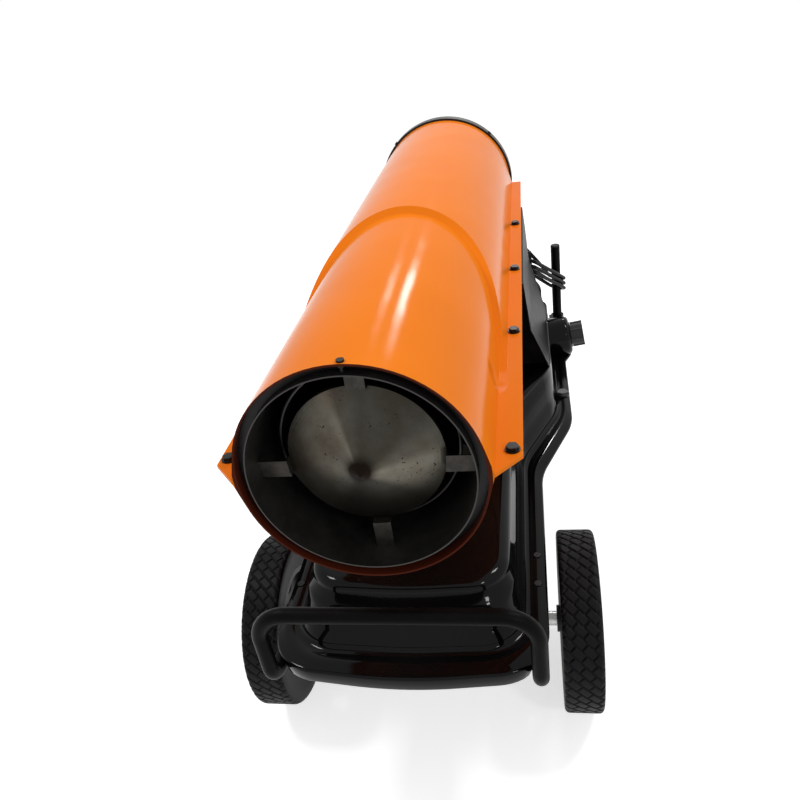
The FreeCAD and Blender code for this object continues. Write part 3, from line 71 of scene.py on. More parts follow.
def shader_node(tree, kind, **values):
    """A shader node, with its named inputs or settings given as words."""
    made = tree.nodes.new("ShaderNode" + kind)
    for name, setting in values.items():
        label = name.replace("_", " ").title()
        if label in made.inputs:
            made.inputs[label].default_value = setting
        else:
            setattr(made, name, setting)
    return made


def node_group(name, inputs, outputs):
    """An empty shader group with named sockets: inputs are (name, kind, default)."""
    tree = bpy.data.node_groups.new(name, "ShaderNodeTree")
    for label, kind, default in inputs:
        socket = tree.interface.new_socket(label, in_out="INPUT", socket_type="NodeSocket" + kind)
        if kind == "Float":
            socket.default_value = default
    for label, kind in outputs:
        tree.interface.new_socket(label, in_out="OUTPUT", socket_type="NodeSocket" + kind)
    return tree, tree.nodes.new("NodeGroupInput"), tree.nodes.new("NodeGroupOutput")


def math_node(tree, operation, first, second):
    """One arithmetic step between sockets or plain numbers."""
    step = tree.nodes.new("ShaderNodeMath")
    step.operation = operation
    for socket, given in zip(step.inputs, (first, second)):
        if isinstance(given, (int, float)):
            socket.default_value = given
        else:
            link(tree, given, socket)
    return step.outputs[0]


def sprayed_sheet_group():
    """Height of a sprayed sheet: broad ripples of the pressing plus the fine peel of the paint."""
    tree, given, result = node_group(
        "Sprayed sheet",
        [("Vector", "Vector", None), ("Ripple Scale", "Float", 14), ("Ripple Share", "Float", 1),
         ("Peel Scale", "Float", 420), ("Peel Share", "Float", 0.05)],
        [("Height", "Float"), ("Mottle", "Float")])
    ripple = shader_node(tree, "TexNoise", detail=1.0)
    peel = shader_node(tree, "TexNoise", detail=2.0)
    for noise, scale in ((ripple, "Ripple Scale"), (peel, "Peel Scale")):
        link(tree, given.outputs["Vector"], noise.inputs["Vector"])
        link(tree, given.outputs[scale], noise.inputs["Scale"])
    broad = math_node(tree, "MULTIPLY", ripple.outputs["Fac"], given.outputs["Ripple Share"])
    fine = math_node(tree, "MULTIPLY", peel.outputs["Fac"], given.outputs["Peel Share"])
    link(tree, math_node(tree, "ADD", broad, fine), result.inputs["Height"])
    link(tree, ripple.outputs["Fac"], result.inputs["Mottle"])
    return tree


SPRAYED = sprayed_sheet_group()


def principled(name, colour, roughness, metallic=0.0, coat=0.0, specular=0.5):
    """A material whose plain numbers sit on the shader's own sockets."""
    material = bpy.data.materials.new(name)
    material.use_nodes = True
    shader = material.node_tree.nodes["Principled BSDF"]
    shader.inputs["Base Color"].default_value = (*colour, 1)
    shader.inputs["Roughness"].default_value = roughness
    shader.inputs["Metallic"].default_value = metallic
    shader.inputs["Coat Weight"].default_value = coat
    shader.inputs["Specular IOR Level"].default_value = specular
    return material, material.node_tree, shader


def object_place(tree):
    return shader_node(tree, "TexCoord").outputs["Object"]


def raise_by(tree, shader, height, depth):
    """Bends the shader's normal by a height, as deep as the given metres."""
    bump = shader_node(tree, "Bump", strength=1.0, distance=depth)
    link(tree, height, bump.inputs["Height"])
    link(tree, bump.outputs["Normal"], shader.inputs["Normal"])


def tint_by(tree, shader, amount, low, high):
    """Mixes two colours into the base colour by a value from 0 to 1."""
    ramp = shader_node(tree, "ValToRGB")
    ramp.color_ramp.elements[0].position = LOW_TONE_AT
    ramp.color_ramp.elements[1].position = HIGH_TONE_AT
    ramp.color_ramp.elements[0].color = (*low, 1)
    ramp.color_ramp.elements[1].color = (*high, 1)
    link(tree, amount, ramp.inputs["Fac"])
    link(tree, ramp.outputs["Color"], shader.inputs["Base Color"])
    return ramp


def near_spot(tree, place, spot, spread):
    """A mask that falls smoothly from 1 at a spot to 0 at the spread's distance."""
    away = shader_node(tree, "VectorMath", operation="DISTANCE")
    link(tree, place, away.inputs[0])
    away.inputs[1].default_value = spot
    mask = shader_node(tree, "MapRange", interpolation_type="SMOOTHSTEP")
    mask.inputs["From Max"].default_value = spread
    mask.inputs["To Min"].default_value = 1
    mask.inputs["To Max"].default_value = 0
    link(tree, away.outputs["Value"], mask.inputs["Value"])
    return mask.outputs["Result"]


def enamel(name, low, high, roughness, ripple_scale, depth, coat=0.0, peel=0.05, specular=0.5):
    """Sprayed paint: two near tones, a clear gloss, and the sheet's ripples under it."""
    material, tree, shader = principled(name, high, roughness, coat=coat, specular=specular)
    sheet = shader_node(tree, "Group")
    sheet.node_tree = SPRAYED
    sheet.inputs["Ripple Scale"].default_value = ripple_scale
    sheet.inputs["Peel Share"].default_value = peel
    link(tree, object_place(tree), sheet.inputs["Vector"])
    tint_by(tree, shader, sheet.outputs["Mottle"], low, high)
    raise_by(tree, shader, sheet.outputs["Height"], depth)
    return material


def mixed(tree, amount, first, colour):
    """The first colour, turned into a plain colour by an amount from 0 to 1."""
    mix = shader_node(tree, "Mix", data_type="RGBA")
    link(tree, amount, mix.inputs[0])
    link(tree, first, mix.inputs[MIX_FIRST])
    mix.inputs[MIX_SECOND].default_value = (*colour, 1)
    return mix.outputs[MIX_RESULT]


def from_axis(tree, place):
    """Sockets of X and of the height over the barrel's axis."""
    parts = shader_node(tree, "SeparateXYZ")
    link(tree, place, parts.inputs[0])
    return parts.outputs["X"], math_node(tree, "SUBTRACT", parts.outputs["Z"], BARREL_HEIGHT)


def at_front_edge(tree, place):
    """1 on the sheets' cut edges round the outlet, 0 behind them."""
    parts = shader_node(tree, "SeparateXYZ")
    link(tree, place, parts.inputs[0])
    return math_node(tree, "LESS_THAN", parts.outputs["Y"], EDGE_PLANE)


def orange_shell_enamel():
    """Orange paint with a dent sunk into its height; painted shade in dark red-brown on the cut edge and
    inside the shell.
    """
    material = enamel("Orange enamel", ORANGE_DEEP, ORANGE, roughness=0.13, ripple_scale=9.0, depth=0.0012,
                      specular=0.02)
    tree = material.node_tree
    shader = tree.nodes["Principled BSDF"]
    bump = tree.nodes["Bump"]
    place = object_place(tree)
    sheet_height = bump.inputs["Height"].links[0].from_socket
    sunk = math_node(tree, "MULTIPLY", near_spot(tree, place, DENT, DENT_SPREAD), DENT_SHARE)
    link(tree, math_node(tree, "ADD", sheet_height, sunk), bump.inputs["Height"])
    across, over = from_axis(tree, place)
    squares = math_node(tree, "ADD", math_node(tree, "MULTIPLY", across, across),
                        math_node(tree, "MULTIPLY", over, over))
    away = math_node(tree, "POWER", squares, 0.5)
    edge = math_node(tree, "MULTIPLY", at_front_edge(tree, place), EDGE_THICKNESS)
    # Painted shade: inside the shell and on its cut front edge the orange turns dark red-brown.
    inside = math_node(tree, "LESS_THAN", away, math_node(tree, "ADD", edge, INSIDE_RADIUS))
    paint = shader.inputs["Base Color"].links[0].from_socket
    link(tree, mixed(tree, inside, paint, INSIDE_PAINTED_SHADE), shader.inputs["Base Color"])
    return material


def dress(material, *names):
    """Gives CAD nodes one material."""
    for name in names:
        slots = nodes[name].data.materials
        slots.clear()
        slots.append(material)


orange_enamel = orange_shell_enamel()
dress(orange_enamel, "upper_shell", "lower_shell")

# Flange and trim screws: small hexagon-headed and pan-headed screws in blackened steel, driven down
# onto the enamel.

BLACKENED = (0.007, 0.007, 0.007)
BLACKENED_RUBBED = (0.024, 0.023, 0.022)


def speckle_group():
    """A mask of scattered rubbed spots, and a fine grain to break up the gloss."""
    tree, given, result = node_group(
        "Rubbed spots",
        [("Vector", "Vector", None), ("Spot Scale", "Float", 180), ("Grain Scale", "Float", 900)],
        [("Spots", "Float"), ("Grain", "Float")])
    spots = shader_node(tree, "TexNoise", detail=4.0, roughness=0.65)
    grain = shader_node(tree, "TexNoise", detail=2.0)
    for noise, scale in ((spots, "Spot Scale"), (grain, "Grain Scale")):
        link(tree, given.outputs["Vector"], noise.inputs["Vector"])
        link(tree, given.outputs[scale], noise.inputs["Scale"])
    link(tree, spots.outputs["Fac"], result.inputs["Spots"])
    link(tree, grain.outputs["Fac"], result.inputs["Grain"])
    return tree


SPECKLE = speckle_group()


def speckled(name, low, high, roughness, metallic=0.0, specular=0.5, spot_scale=180, grain_scale=900,
             depth=0.0001):
    """A worked surface in two tones: scattered spots tint it and a fine grain roughens it."""
    material, tree, shader = principled(name, high, roughness, metallic=metallic, specular=specular)
    spots = shader_node(tree, "Group")
    spots.node_tree = SPECKLE
    spots.inputs["Spot Scale"].default_value = spot_scale
    spots.inputs["Grain Scale"].default_value = grain_scale
    link(tree, object_place(tree), spots.inputs["Vector"])
    tint_by(tree, shader, spots.outputs["Spots"], low, high)
    raise_by(tree, shader, spots.outputs["Grain"], depth)
    return material


blackened_steel = speckled("Blackened steel", BLACKENED, BLACKENED_RUBBED, roughness=0.36, metallic=0.5,
                           specular=0.2)
dress(blackened_steel, "flange_screws", "trim_screws")

# Outlet ring and rear ring: rolled rings of thin sheet in black enamel. The outlet ring sits deep in
# the gap between the shell and the liner; the rear ring is pushed over the shells' end.

BLACK = (0.002, 0.002, 0.0024)
BLACK_LIGHT = (0.004, 0.004, 0.0044)

ring_enamel = enamel("Black ring enamel", BLACK, BLACK_LIGHT, roughness=0.38, ripple_scale=30.0, depth=0.0004,
                     specular=0.25)
dress(ring_enamel, "outlet_ring", "rear_ring")

# Heat liner, flame tube, spacers and burner head: rolled mild steel, dulled grey-brown by the first
# firings. The liner's cut front edge has one even tone.

LINER_DARK = (0.030, 0.029, 0.027)
LINER_GREY = (0.075, 0.073, 0.068)
BARE_EDGE = (0.045, 0.043, 0.040)


def fired_sheet_steel():
    """Fired steel in two greys, with another tone on the cut edge round the outlet."""
    material = speckled("Fired sheet", LINER_DARK, LINER_GREY, roughness=0.42, metallic=0.8, spot_scale=22,
                        grain_scale=500)
    tree = material.node_tree
    shader = tree.nodes["Principled BSDF"]
    tone = shader.inputs["Base Color"].links[0].from_socket
    edge = at_front_edge(tree, object_place(tree))
    link(tree, mixed(tree, edge, tone, BARE_EDGE), shader.inputs["Base Color"])
    return material


fired_sheet = fired_sheet_steel()
dress(fired_sheet, "heat_liner", "flame_tube", "liner_spacers", "burner_head")

# Flame cone: a shallow cone spun from steel, with the lathe's fine rings, a brown tarnish, dark specks and a
# scorched tip, and painted highlight in two bright streaks with painted shade between them. Its four tabs are
# cut from the same sheet.

# Painted highlight and painted shade: grey by the share of a turn round the axis, bright in two streaks, dark
# between.
CONE_PAINTED_LIGHT_AND_SHADE = [(0.000, 0.110), (0.100, 0.085), (0.200, 0.036), (0.370, 0.045), (0.440, 0.140),
              (0.490, 0.160), (0.540, 0.085), (0.600, 0.055), (0.730, 0.055), (0.790, 0.080),
              (0.815, 0.165), (0.850, 0.125), (0.900, 0.105), (1.000, 0.110)]
TARNISH_LOW = (0.62, 0.50, 0.37)
TARNISH_HIGH = (1.0, 0.98, 0.82)
CONE_SPECK = (0.010, 0.007, 0.005)
CONE_TIP = (0.0, -0.546, BARREL_HEIGHT + 0.004)
TIP_SCORCH = 0.024
SCORCH_STRENGTH = 3.2
TARNISH_SCALE = 20.0
SPECK_SCALE = 260.0
CLUSTER_SCALE = 28.0
SPECK_LEVEL = 0.65
CLUSTER_LEVEL = 0.50
LATHE_RINGS = 90.0
LATHE_DEPTH = 0.00002
TAB_SCORCHED = (0.022, 0.020, 0.018)
TAB_GREY = (0.055, 0.050, 0.044)


def spun_cone_steel():
    """Painted highlight and painted shade by the angle round the axis, times two tarnish tones, darkened by
    specks and at the tip.
    """
    material, tree, shader = principled("Spun cone steel", CONE_SPECK, roughness=0.36, metallic=0.9,
                                        specular=0.05)
    place = object_place(tree)
    across, over = from_axis(tree, place)
    turn = math_node(tree, "ARCTAN2", over, across)
    share = math_node(tree, "ADD", math_node(tree, "MULTIPLY", turn, 0.5 / math.pi), 0.5)
    # Painted highlight streaks and painted shade, set by the angle round the cone's axis.
    painted_streaks = shader_node(tree, "ValToRGB")
    painted_streaks.color_ramp.interpolation = "EASE"
    tones = painted_streaks.color_ramp.elements
    for number, (angle, grey) in enumerate(CONE_PAINTED_LIGHT_AND_SHADE):
        tone = tones[number] if number < 2 else tones.new(angle)
        tone.position = angle
        tone.color = (grey, grey, grey, 1)
    link(tree, share, painted_streaks.inputs["Fac"])
    tarnish = shader_node(tree, "TexNoise", scale=TARNISH_SCALE, detail=6.0, roughness=0.65)
    specks = shader_node(tree, "TexNoise", scale=SPECK_SCALE, detail=3.0, roughness=0.7)
    clusters = shader_node(tree, "TexNoise", scale=CLUSTER_SCALE, detail=1.0)
    for noise in (tarnish, specks, clusters):
        link(tree, place, noise.inputs["Vector"])
    brown = tint_by(tree, shader, tarnish.outputs["Fac"], TARNISH_LOW, TARNISH_HIGH)
    toned = shader_node(tree, "Mix", data_type="RGBA", blend_type="MULTIPLY")
    toned.inputs[0].default_value = 1
    link(tree, painted_streaks.outputs["Color"], toned.inputs[MIX_FIRST])
    link(tree, brown.outputs["Color"], toned.inputs[MIX_SECOND])
    speck_mask = math_node(tree, "MULTIPLY",
                           math_node(tree, "GREATER_THAN", specks.outputs["Fac"], SPECK_LEVEL),
                           math_node(tree, "GREATER_THAN", clusters.outputs["Fac"], CLUSTER_LEVEL))
    patchy = math_node(tree, "MULTIPLY", tarnish.outputs["Fac"], SCORCH_STRENGTH)
    scorch = math_node(tree, "MULTIPLY", near_spot(tree, place, CONE_TIP, TIP_SCORCH), patchy)
    dark = math_node(tree, "MAXIMUM", speck_mask, scorch)
    link(tree, mixed(tree, dark, toned.outputs[MIX_RESULT], CONE_SPECK), shader.inputs["Base Color"])
    rings = shader_node(tree, "TexWave", scale=LATHE_RINGS, distortion=0.6, detail=1.0)
    rings.wave_type = "RINGS"
    rings.rings_direction = "Y"
    mapping = shader_node(tree, "Mapping")
    mapping.inputs["Location"].default_value = (0, 0, -BARREL_HEIGHT)
    link(tree, place, mapping.inputs["Vector"])
    link(tree, mapping.outputs["Vector"], rings.inputs["Vector"])
    raise_by(tree, shader, rings.outputs["Fac"], LATHE_DEPTH)
    return material


cone_steel = spun_cone_steel()
dress(cone_steel, "flame_cone")
tab_steel = speckled("Scorched tab steel", TAB_SCORCHED, TAB_GREY, roughness=0.45, metallic=0.8,
                     spot_scale=90)
dress(tab_steel, "cone_tabs")

# Burner parts and small plated steel: the nozzle and its holder are turned brass, the electrodes sit in
# glazed ceramic, the axle and small pieces are zinc-plated and the pump is cast in alloy.

BRASS_DULL = (0.42, 0.30, 0.10)
BRASS_BRIGHT = (0.60, 0.45, 0.18)
GLAZE_SHADE = (0.72, 0.69, 0.62)
GLAZE_WHITE = (0.82, 0.79, 0.73)
ZINC_DULL = (0.42, 0.42, 0.41)
ZINC_BRIGHT = (0.66, 0.66, 0.64)
ALLOY_DULL = (0.34, 0.34, 0.34)
ALLOY_BRIGHT = (0.48, 0.48, 0.48)

brass = speckled("Turned brass", BRASS_DULL, BRASS_BRIGHT, roughness=0.30, metallic=1.0, spot_scale=60)
dress(brass, "nozzle_holder", "burner_nozzle", "fuel_line")
ceramic = speckled("Glazed ceramic", GLAZE_SHADE, GLAZE_WHITE, roughness=0.20, spot_scale=90)
dress(ceramic, "spark_electrodes")
zinc = speckled("Zinc plating", ZINC_DULL, ZINC_BRIGHT, roughness=0.28, metallic=1.0, spot_scale=120)
dress(zinc, "cone_rivets", "axle", "wheel_spacers", "motor_shaft", "fuel_pickup", "drain_plug")
cast_alloy = speckled("Die-cast alloy", ALLOY_DULL, ALLOY_BRIGHT, roughness=0.45, metallic=0.9,
                      spot_scale=300)
dress(cast_alloy, "fuel_pump")

# Motor, fan, controls and hubs: a grey-painted motor on its bracket, a green lacquered board, and pieces
# moulded in black and in dark grey plastic.

PLASTIC_BLACK = (0.006, 0.006, 0.006)
PLASTIC_BLACK_WORN = (0.011, 0.011, 0.012)
PLASTIC_GREY = (0.008, 0.008, 0.009)
PLASTIC_GREY_WORN = (0.016, 0.016, 0.017)
MOTOR_GREY_DEEP = (0.05, 0.055, 0.06)
MOTOR_GREY = (0.08, 0.085, 0.09)
BOARD_GREEN_DEEP = (0.010, 0.075, 0.030)
BOARD_GREEN = (0.016, 0.110, 0.045)

moulded_black = speckled("Moulded black plastic", PLASTIC_BLACK, PLASTIC_BLACK_WORN, roughness=0.42,
                         spot_scale=40, specular=0.3)
dress(moulded_black, "fan", "flame_sensor", "thermostat_body", "thermostat_knob", "switch_housing",
      "power_switch", "cord_gland", "power_plug", "hub_left", "hub_right", "axle_caps")
moulded_grey = speckled("Moulded grey plastic", PLASTIC_GREY, PLASTIC_GREY_WORN, roughness=0.38,
                        spot_scale=60, specular=0.35)
dress(moulded_grey, "fuel_cap", "fuel_gauge", "ignition_transformer")
motor_paint = enamel("Motor paint", MOTOR_GREY_DEEP, MOTOR_GREY, roughness=0.5, ripple_scale=40.0,
                     depth=0.0003, coat=0.1)
dress(motor_paint, "motor", "motor_bracket")
board_lacquer = speckled("Board lacquer", BOARD_GREEN_DEEP, BOARD_GREEN, roughness=0.35, spot_scale=70)
dress(board_lacquer, "control_board")

# Fuel tank: two deep-drawn steel halves seam-welded at a wide rolled rim, in glossy black enamel. It is
# narrow between the wheels, flares out behind them, and swells round the filler's neck. The neck, the axle
# brackets and the stand's clamps have the same enamel.

RIM_HEIGHT = 0.228
TANK_TOP = 0.302
TANK_FLOOR = 0.142
RIM_BEAD = 0.0042
FOOT_FILLET = 0.010
TOP_FILLET = 0.016
SEAT_FILLET = 0.003
SEAT_RUN = (0.50, 0.62)
FLOOR_FILLET = 0.024
FLANGE_CROWN = 0.0030
FRONT_PLANE = -0.552
LIP_DROP = 0.0135
LIP_REACH = 0.150
LIP_DEPTH = 0.042
LIP_FADE = 0.012
BOSS_ROOT = (0.205, 0.286, 0.262)
BOSS_LEAN = math.radians(82)
BOSS_RADIUS = 0.040
BOSS_LENGTH = 0.045
BOSS_ROUND = 0.010
BOSS_FLARE = 0.009
RIM_LOBE = 0.014
LOBE_REACH = 0.048
ARC_STEPS = 14
FILLET_STEPS = 7
FOOT_STEPS = 6
BEAD_STEPS = 11
BOSS_STEPS = 8
BOSS_SPOKES = 56
PLATE_SHARES = (0.02, 0.35, 0.7, 0.9)
WALL_SHARES = np.linspace(0.15, 0.85, 4)
FLANGE_SHARES = np.linspace(0.2, 0.8, 4)
BOSS_END_SHARES = np.array((0.02, 0.6))
STRAIGHT_SHARES = np.concatenate((np.linspace(0.1, 0.5, 5), np.linspace(0.53, 0.81, 23), [0.9]))
LEVELS = {
    "rim": dict(front=0.000, corner=0.020, narrow=0.179, flare=0.410, wide=0.237, flare_end=0.560,
                rear=1.010, corner_radius=0.070),
    "foot": dict(front=0.046, corner=0.054, narrow=0.147, flare=0.440, wide=0.210, flare_end=0.590,
                 rear=0.978, corner_radius=0.055),
    "top": dict(front=0.086, corner=0.095, narrow=0.134, flare=0.510, wide=0.205, flare_end=0.640,
                rear=0.965, corner_radius=0.055),
    "floor": dict(front=0.110, corner=0.118, narrow=0.125, flare=0.470, wide=0.185, flare_end=0.600,
                  rear=0.950, corner_radius=0.055),
}
BOW_RADIUS = 0.600
FLARE_RADIUS = 0.150
REAR_RADIUS = 0.045


def tank_outline(front, corner, narrow, flare, wide, flare_end, rear, corner_radius):
    """Closed outline at one level: corners rounded by tangent arcs in equal steps of angle, and a
    straight run on the wide right side with its points drawn together beside the filler."""
    right = [(narrow, corner), (narrow, flare), (wide, flare_end), (wide, rear)]
    corners = np.array([(0, front)] + right + [(-x, y) for x, y in right[::-1]])
    radii = np.array([BOW_RADIUS, corner_radius, FLARE_RADIUS, FLARE_RADIUS, REAR_RADIUS,
                      REAR_RADIUS, FLARE_RADIUS, FLARE_RADIUS, corner_radius])
    back = np.roll(corners, 1, 0) - corners
    ahead = np.roll(corners, -1, 0) - corners
    back /= np.linalg.norm(back, axis=1)[:, None]
    ahead /= np.linalg.norm(ahead, axis=1)[:, None]
    half = np.arccos(np.clip((back * ahead).sum(1), -1, 1)) / 2
    inward = back + ahead
    inward /= np.linalg.norm(inward, axis=1)[:, None]
    centres = corners + inward * (radii / np.sin(half))[:, None]
    sweep = np.linspace(-1, 1, ARC_STEPS)[None, :] * (math.pi / 2 - half)[:, None]
    side = np.sign(np.cross(back, ahead))[:, None]
    angle = np.arctan2(-inward[:, 1], -inward[:, 0])[:, None] - sweep * side
    arcs = centres[:, None] + radii[:, None, None] * np.stack((np.cos(angle), np.sin(angle)), 2)
    straight = arcs[3, -1] + (arcs[4, 0] - arcs[3, -1]) * STRAIGHT_SHARES[:, None]
    outline = np.concatenate((arcs[:4].reshape(-1, 2), straight, arcs[4:].reshape(-1, 2)))
    return outline + (0, FRONT_PLANE)


def drawn_in(outline, inset):
    """An outline moved square to itself, inwards by the inset, which may differ from point to point."""
    run = np.roll(outline, -1, 0) - np.roll(outline, 1, 0)
    run /= np.linalg.norm(run, axis=1)[:, None]
    return outline + np.stack((-run[:, 1], run[:, 0]), 1) * np.reshape(inset, (-1, 1))


def smooth_share(start, finish, given):
    """The smooth step: 0 before the start, 1 past the finish, 3t^2 - 2t^3 between."""
    share = np.clip((given - start) / (finish - start), 0, 1)
    return share * share * (3 - 2 * share)


def tank_rings():
    """Rings from the middle of the top, down the wall, over the rim's bead, and in under the floor. The rim
    swells beside the filler, and its front edge is turned down."""
    shape = {name: tank_outline(**level) for name, level in LEVELS.items()}
    rim = shape["rim"]
    beside = np.clip(1 - ((rim[:, 1] - BOSS_ROOT[1]) / LOBE_REACH) ** 2, 0, 1) ** 2
    rim[:, 0] += np.where(rim[:, 0] > BOSS_ROOT[0], RIM_LOBE * beside, 0)
    past_sides = smooth_share(LIP_REACH, LIP_REACH + LIP_FADE, np.abs(rim[:, 0]))
    past_back = smooth_share(LIP_DEPTH, LIP_DEPTH + LIP_FADE, rim[:, 1] - FRONT_PLANE)
    turned_down = LIP_DROP * (1 - past_sides) * (1 - past_back)
    seated = smooth_share(*SEAT_RUN, shape["top"][:, 1] - FRONT_PLANE)
    top_fillet = TOP_FILLET + (SEAT_FILLET - TOP_FILLET) * seated
    rings = []

    def ring(outline, height):
        rings.append(np.column_stack((outline, np.broadcast_to(height, len(outline)))))

    def half(level, far_height, fillet, side):
        """One half's rings from its far plate to its rim; side is +1 above the rim and -1 below."""
        seat = RIM_HEIGHT + side * RIM_BEAD
        middle = shape[level].mean(0)
        edge = drawn_in(shape[level], fillet)
        for share in PLATE_SHARES:
            ring(middle + (edge - middle) * share, far_height)
        for turn in np.linspace(0, math.pi / 2, FILLET_STEPS):
            ring(drawn_in(shape[level], fillet * (1 - math.sin(turn))),
                 far_height - side * fillet * (1 - math.cos(turn)))
        wall_start = seat + side * FOOT_FILLET
        wall_end = far_height - side * fillet
        for share in WALL_SHARES:
            height = wall_end + (wall_start - wall_end) * share
            mix = (height - far_height) / (RIM_HEIGHT - far_height)
            ring(shape[level] + (shape["foot"] - shape[level]) * np.reshape(mix, (-1, 1)), height)
        for turn in np.linspace(0, math.pi / 2, FOOT_STEPS):
            ring(drawn_in(shape["foot"], -FOOT_FILLET * (1 - math.cos(turn))),
                 seat + side * FOOT_FILLET * (1 - math.sin(turn)))
        flange_foot = drawn_in(shape["foot"], -FOOT_FILLET)
        flange_edge = drawn_in(shape["rim"], RIM_BEAD)
        for share in FLANGE_SHARES:
            crown = FLANGE_CROWN * math.sin(math.pi * share) if side > 0 else 0
            ring(flange_foot + (flange_edge - flange_foot) * share, seat + crown)

    half("top", TANK_TOP, top_fillet, 1)
    for turn in np.linspace(math.pi / 2, -math.pi / 2, BEAD_STEPS):
        drop = turned_down if turn < 0 else 0
        ring(drawn_in(rim, RIM_BEAD * (1 - math.cos(turn))),
             RIM_HEIGHT + RIM_BEAD * math.sin(turn) - drop)
    above = len(rings)
    half("floor", TANK_FLOOR, np.full(len(rim), FLOOR_FILLET), -1)
    return np.array(rings[:above] + rings[above:][::-1])


def boss_rings():
    """The swelling under the filler, turned about its leaning axis: end plate, round edge, straight side
    and a foot that flares into the wall. What would come below the rim is pressed flat onto it."""
    turn = np.linspace(0, math.pi / 2, BOSS_STEPS)
    out = np.concatenate(([BOSS_LENGTH] * 2, BOSS_LENGTH - BOSS_ROUND + BOSS_ROUND * np.cos(turn),
                          BOSS_FLARE * (1 - np.sin(turn)) - BOSS_FLARE / 2, [-BOSS_RADIUS / 2]))
    radius = np.concatenate((BOSS_END_SHARES * BOSS_RADIUS, BOSS_RADIUS - BOSS_ROUND * (1 - np.sin(turn)),
                             BOSS_RADIUS + BOSS_FLARE * (1 - np.cos(turn)), [BOSS_RADIUS / 2]))
    angle = np.linspace(0, 2 * math.pi, BOSS_SPOKES, endpoint=False)
    axis = np.array((math.sin(BOSS_LEAN), 0, math.cos(BOSS_LEAN)))
    level = np.array((0, 1, 0))
    spokes = np.cos(angle)[:, None] * level + np.sin(angle)[:, None] * np.cross(axis, level)
    rings = BOSS_ROOT + out[:, None, None] * axis + radius[:, None, None] * spokes[None]
    rings[..., 2] = np.maximum(rings[..., 2], RIM_HEIGHT + RIM_BEAD)
    return rings


def closed_mesh(name, grids, capped):
    """One mesh over grids of rings, each ring closed on itself; the end rings are capped, or joined to
    each other."""
    points = np.concatenate([grid.reshape(-1, 3) for grid in grids])
    faces = []
    start = 0
    for grid in grids:
        rows, columns = grid.shape[:2]
        spread = start + np.arange(rows * columns).reshape(rows, columns)
        first = spread if not capped else spread[:-1]
        second = np.roll(spread, -1, 0) if not capped else spread[1:]
        quads = np.stack((first, second, np.roll(second, -1, 1), np.roll(first, -1, 1)), 2)
        faces += quads.reshape(-1, 4).tolist()
        if capped:
            faces += [spread[0].tolist(), spread[-1][::-1].tolist()]
        start += rows * columns
    mesh = bpy.data.meshes.new(name)
    mesh.from_pydata(points.tolist(), [], faces)
    mesh.polygons.foreach_set("use_smooth", np.ones(len(mesh.polygons), bool))
    mesh.update()
    piece = bpy.data.objects.new(name, mesh)
    scene.collection.objects.link(piece)
    return piece


tank = closed_mesh("fuel_tank", [tank_rings(), boss_rings()], capped=True)
tank_enamel = enamel("Black tank enamel", BLACK, BLACK_LIGHT, roughness=0.07, ripple_scale=7.0, depth=0.0020,
                     peel=0.01, specular=0.12)
tank.data.materials.append(tank_enamel)
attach(tank, "frame")
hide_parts("tank_upper", "tank_lower")
dress(tank_enamel, "tank_upper", "tank_lower", "filler_neck", "axle_brackets", "stand_clamps")

# Pedestal and cord hook: folded sheet panels in a duller black enamel that stand on the tank and cradle
# the barrel, and a small grey hook on the rear panel's edge.

PEDESTAL_DARK = (0.006, 0.006, 0.0065)
PEDESTAL_GREY = (0.013, 0.013, 0.0135)
HOOK_GREY_DEEP = (0.020, 0.020, 0.020)
HOOK_GREY = (0.030, 0.030, 0.030)

pedestal_enamel = enamel("Black pedestal enamel", PEDESTAL_DARK, PEDESTAL_GREY, roughness=0.40,
                         ripple_scale=40.0, depth=0.0006, specular=0.03)
dress(pedestal_enamel, "pedestal_right", "pedestal_left", "pedestal_front", "pedestal_rear")
hook_enamel = enamel("Grey hook enamel", HOOK_GREY_DEEP, HOOK_GREY, roughness=0.4, ripple_scale=30.0,
                     depth=0.0003, specular=0.2)
dress(hook_enamel, "cord_hook")

# Handle, stand and guard: bent steel tube and welded wire in a satin black powder coat, bolted on with
# blackened bolts. The stand's feet and caps and the suction hose are soft rubber.

POWDER_BLACK = (0.0025, 0.0025, 0.0027)
POWDER_RUBBED = (0.0045, 0.0045, 0.0047)
RUBBER_BLACK = (0.006, 0.006, 0.006)
RUBBER_WORN = (0.011, 0.011, 0.011)

powder_coat = speckled("Satin powder coat", POWDER_BLACK, POWDER_RUBBED, roughness=0.36, spot_scale=30,
                       grain_scale=1500, depth=0.00012, specular=0.04)
dress(powder_coat, "front_handle", "rear_stand", "rear_guard")
dress(blackened_steel, "frame_bolts")
soft_rubber = speckled("Soft rubber", RUBBER_BLACK, RUBBER_WORN, roughness=0.62, spot_scale=80, specular=0.3)
dress(soft_rubber, "stand_feet", "suction_hose", "post_caps")

# Tyres: solid rubber, pressed onto the hubs, and moulded with rows of slanted blocks that lie across
# each other like bricks.

WHEEL_X = 0.221
WHEEL_Y = -0.353
WHEEL_Z = 0.127
TYRE_RADIUS = 0.127
TYRE_WIDTH = 0.053
TYRE_INNER = 0.078
TYRE_BEAD = 0.040
SHOULDER = 0.0065
GROOVE_DEPTH = 0.0022
GROOVE_WIDTH = 0.0014
GROOVE_SLOPE = 0.0007
BLOCK_ROWS = 46
BLOCKS_IN_ROW = 30
ROUND_STEPS = 760
TREAD_STEPS = 60
SHOULDER_STEPS = 7
SIDE_STEPS = 9
TYRE_BLACK = (0.0035, 0.0035, 0.004)
TYRE_WORN = (0.007, 0.007, 0.008)


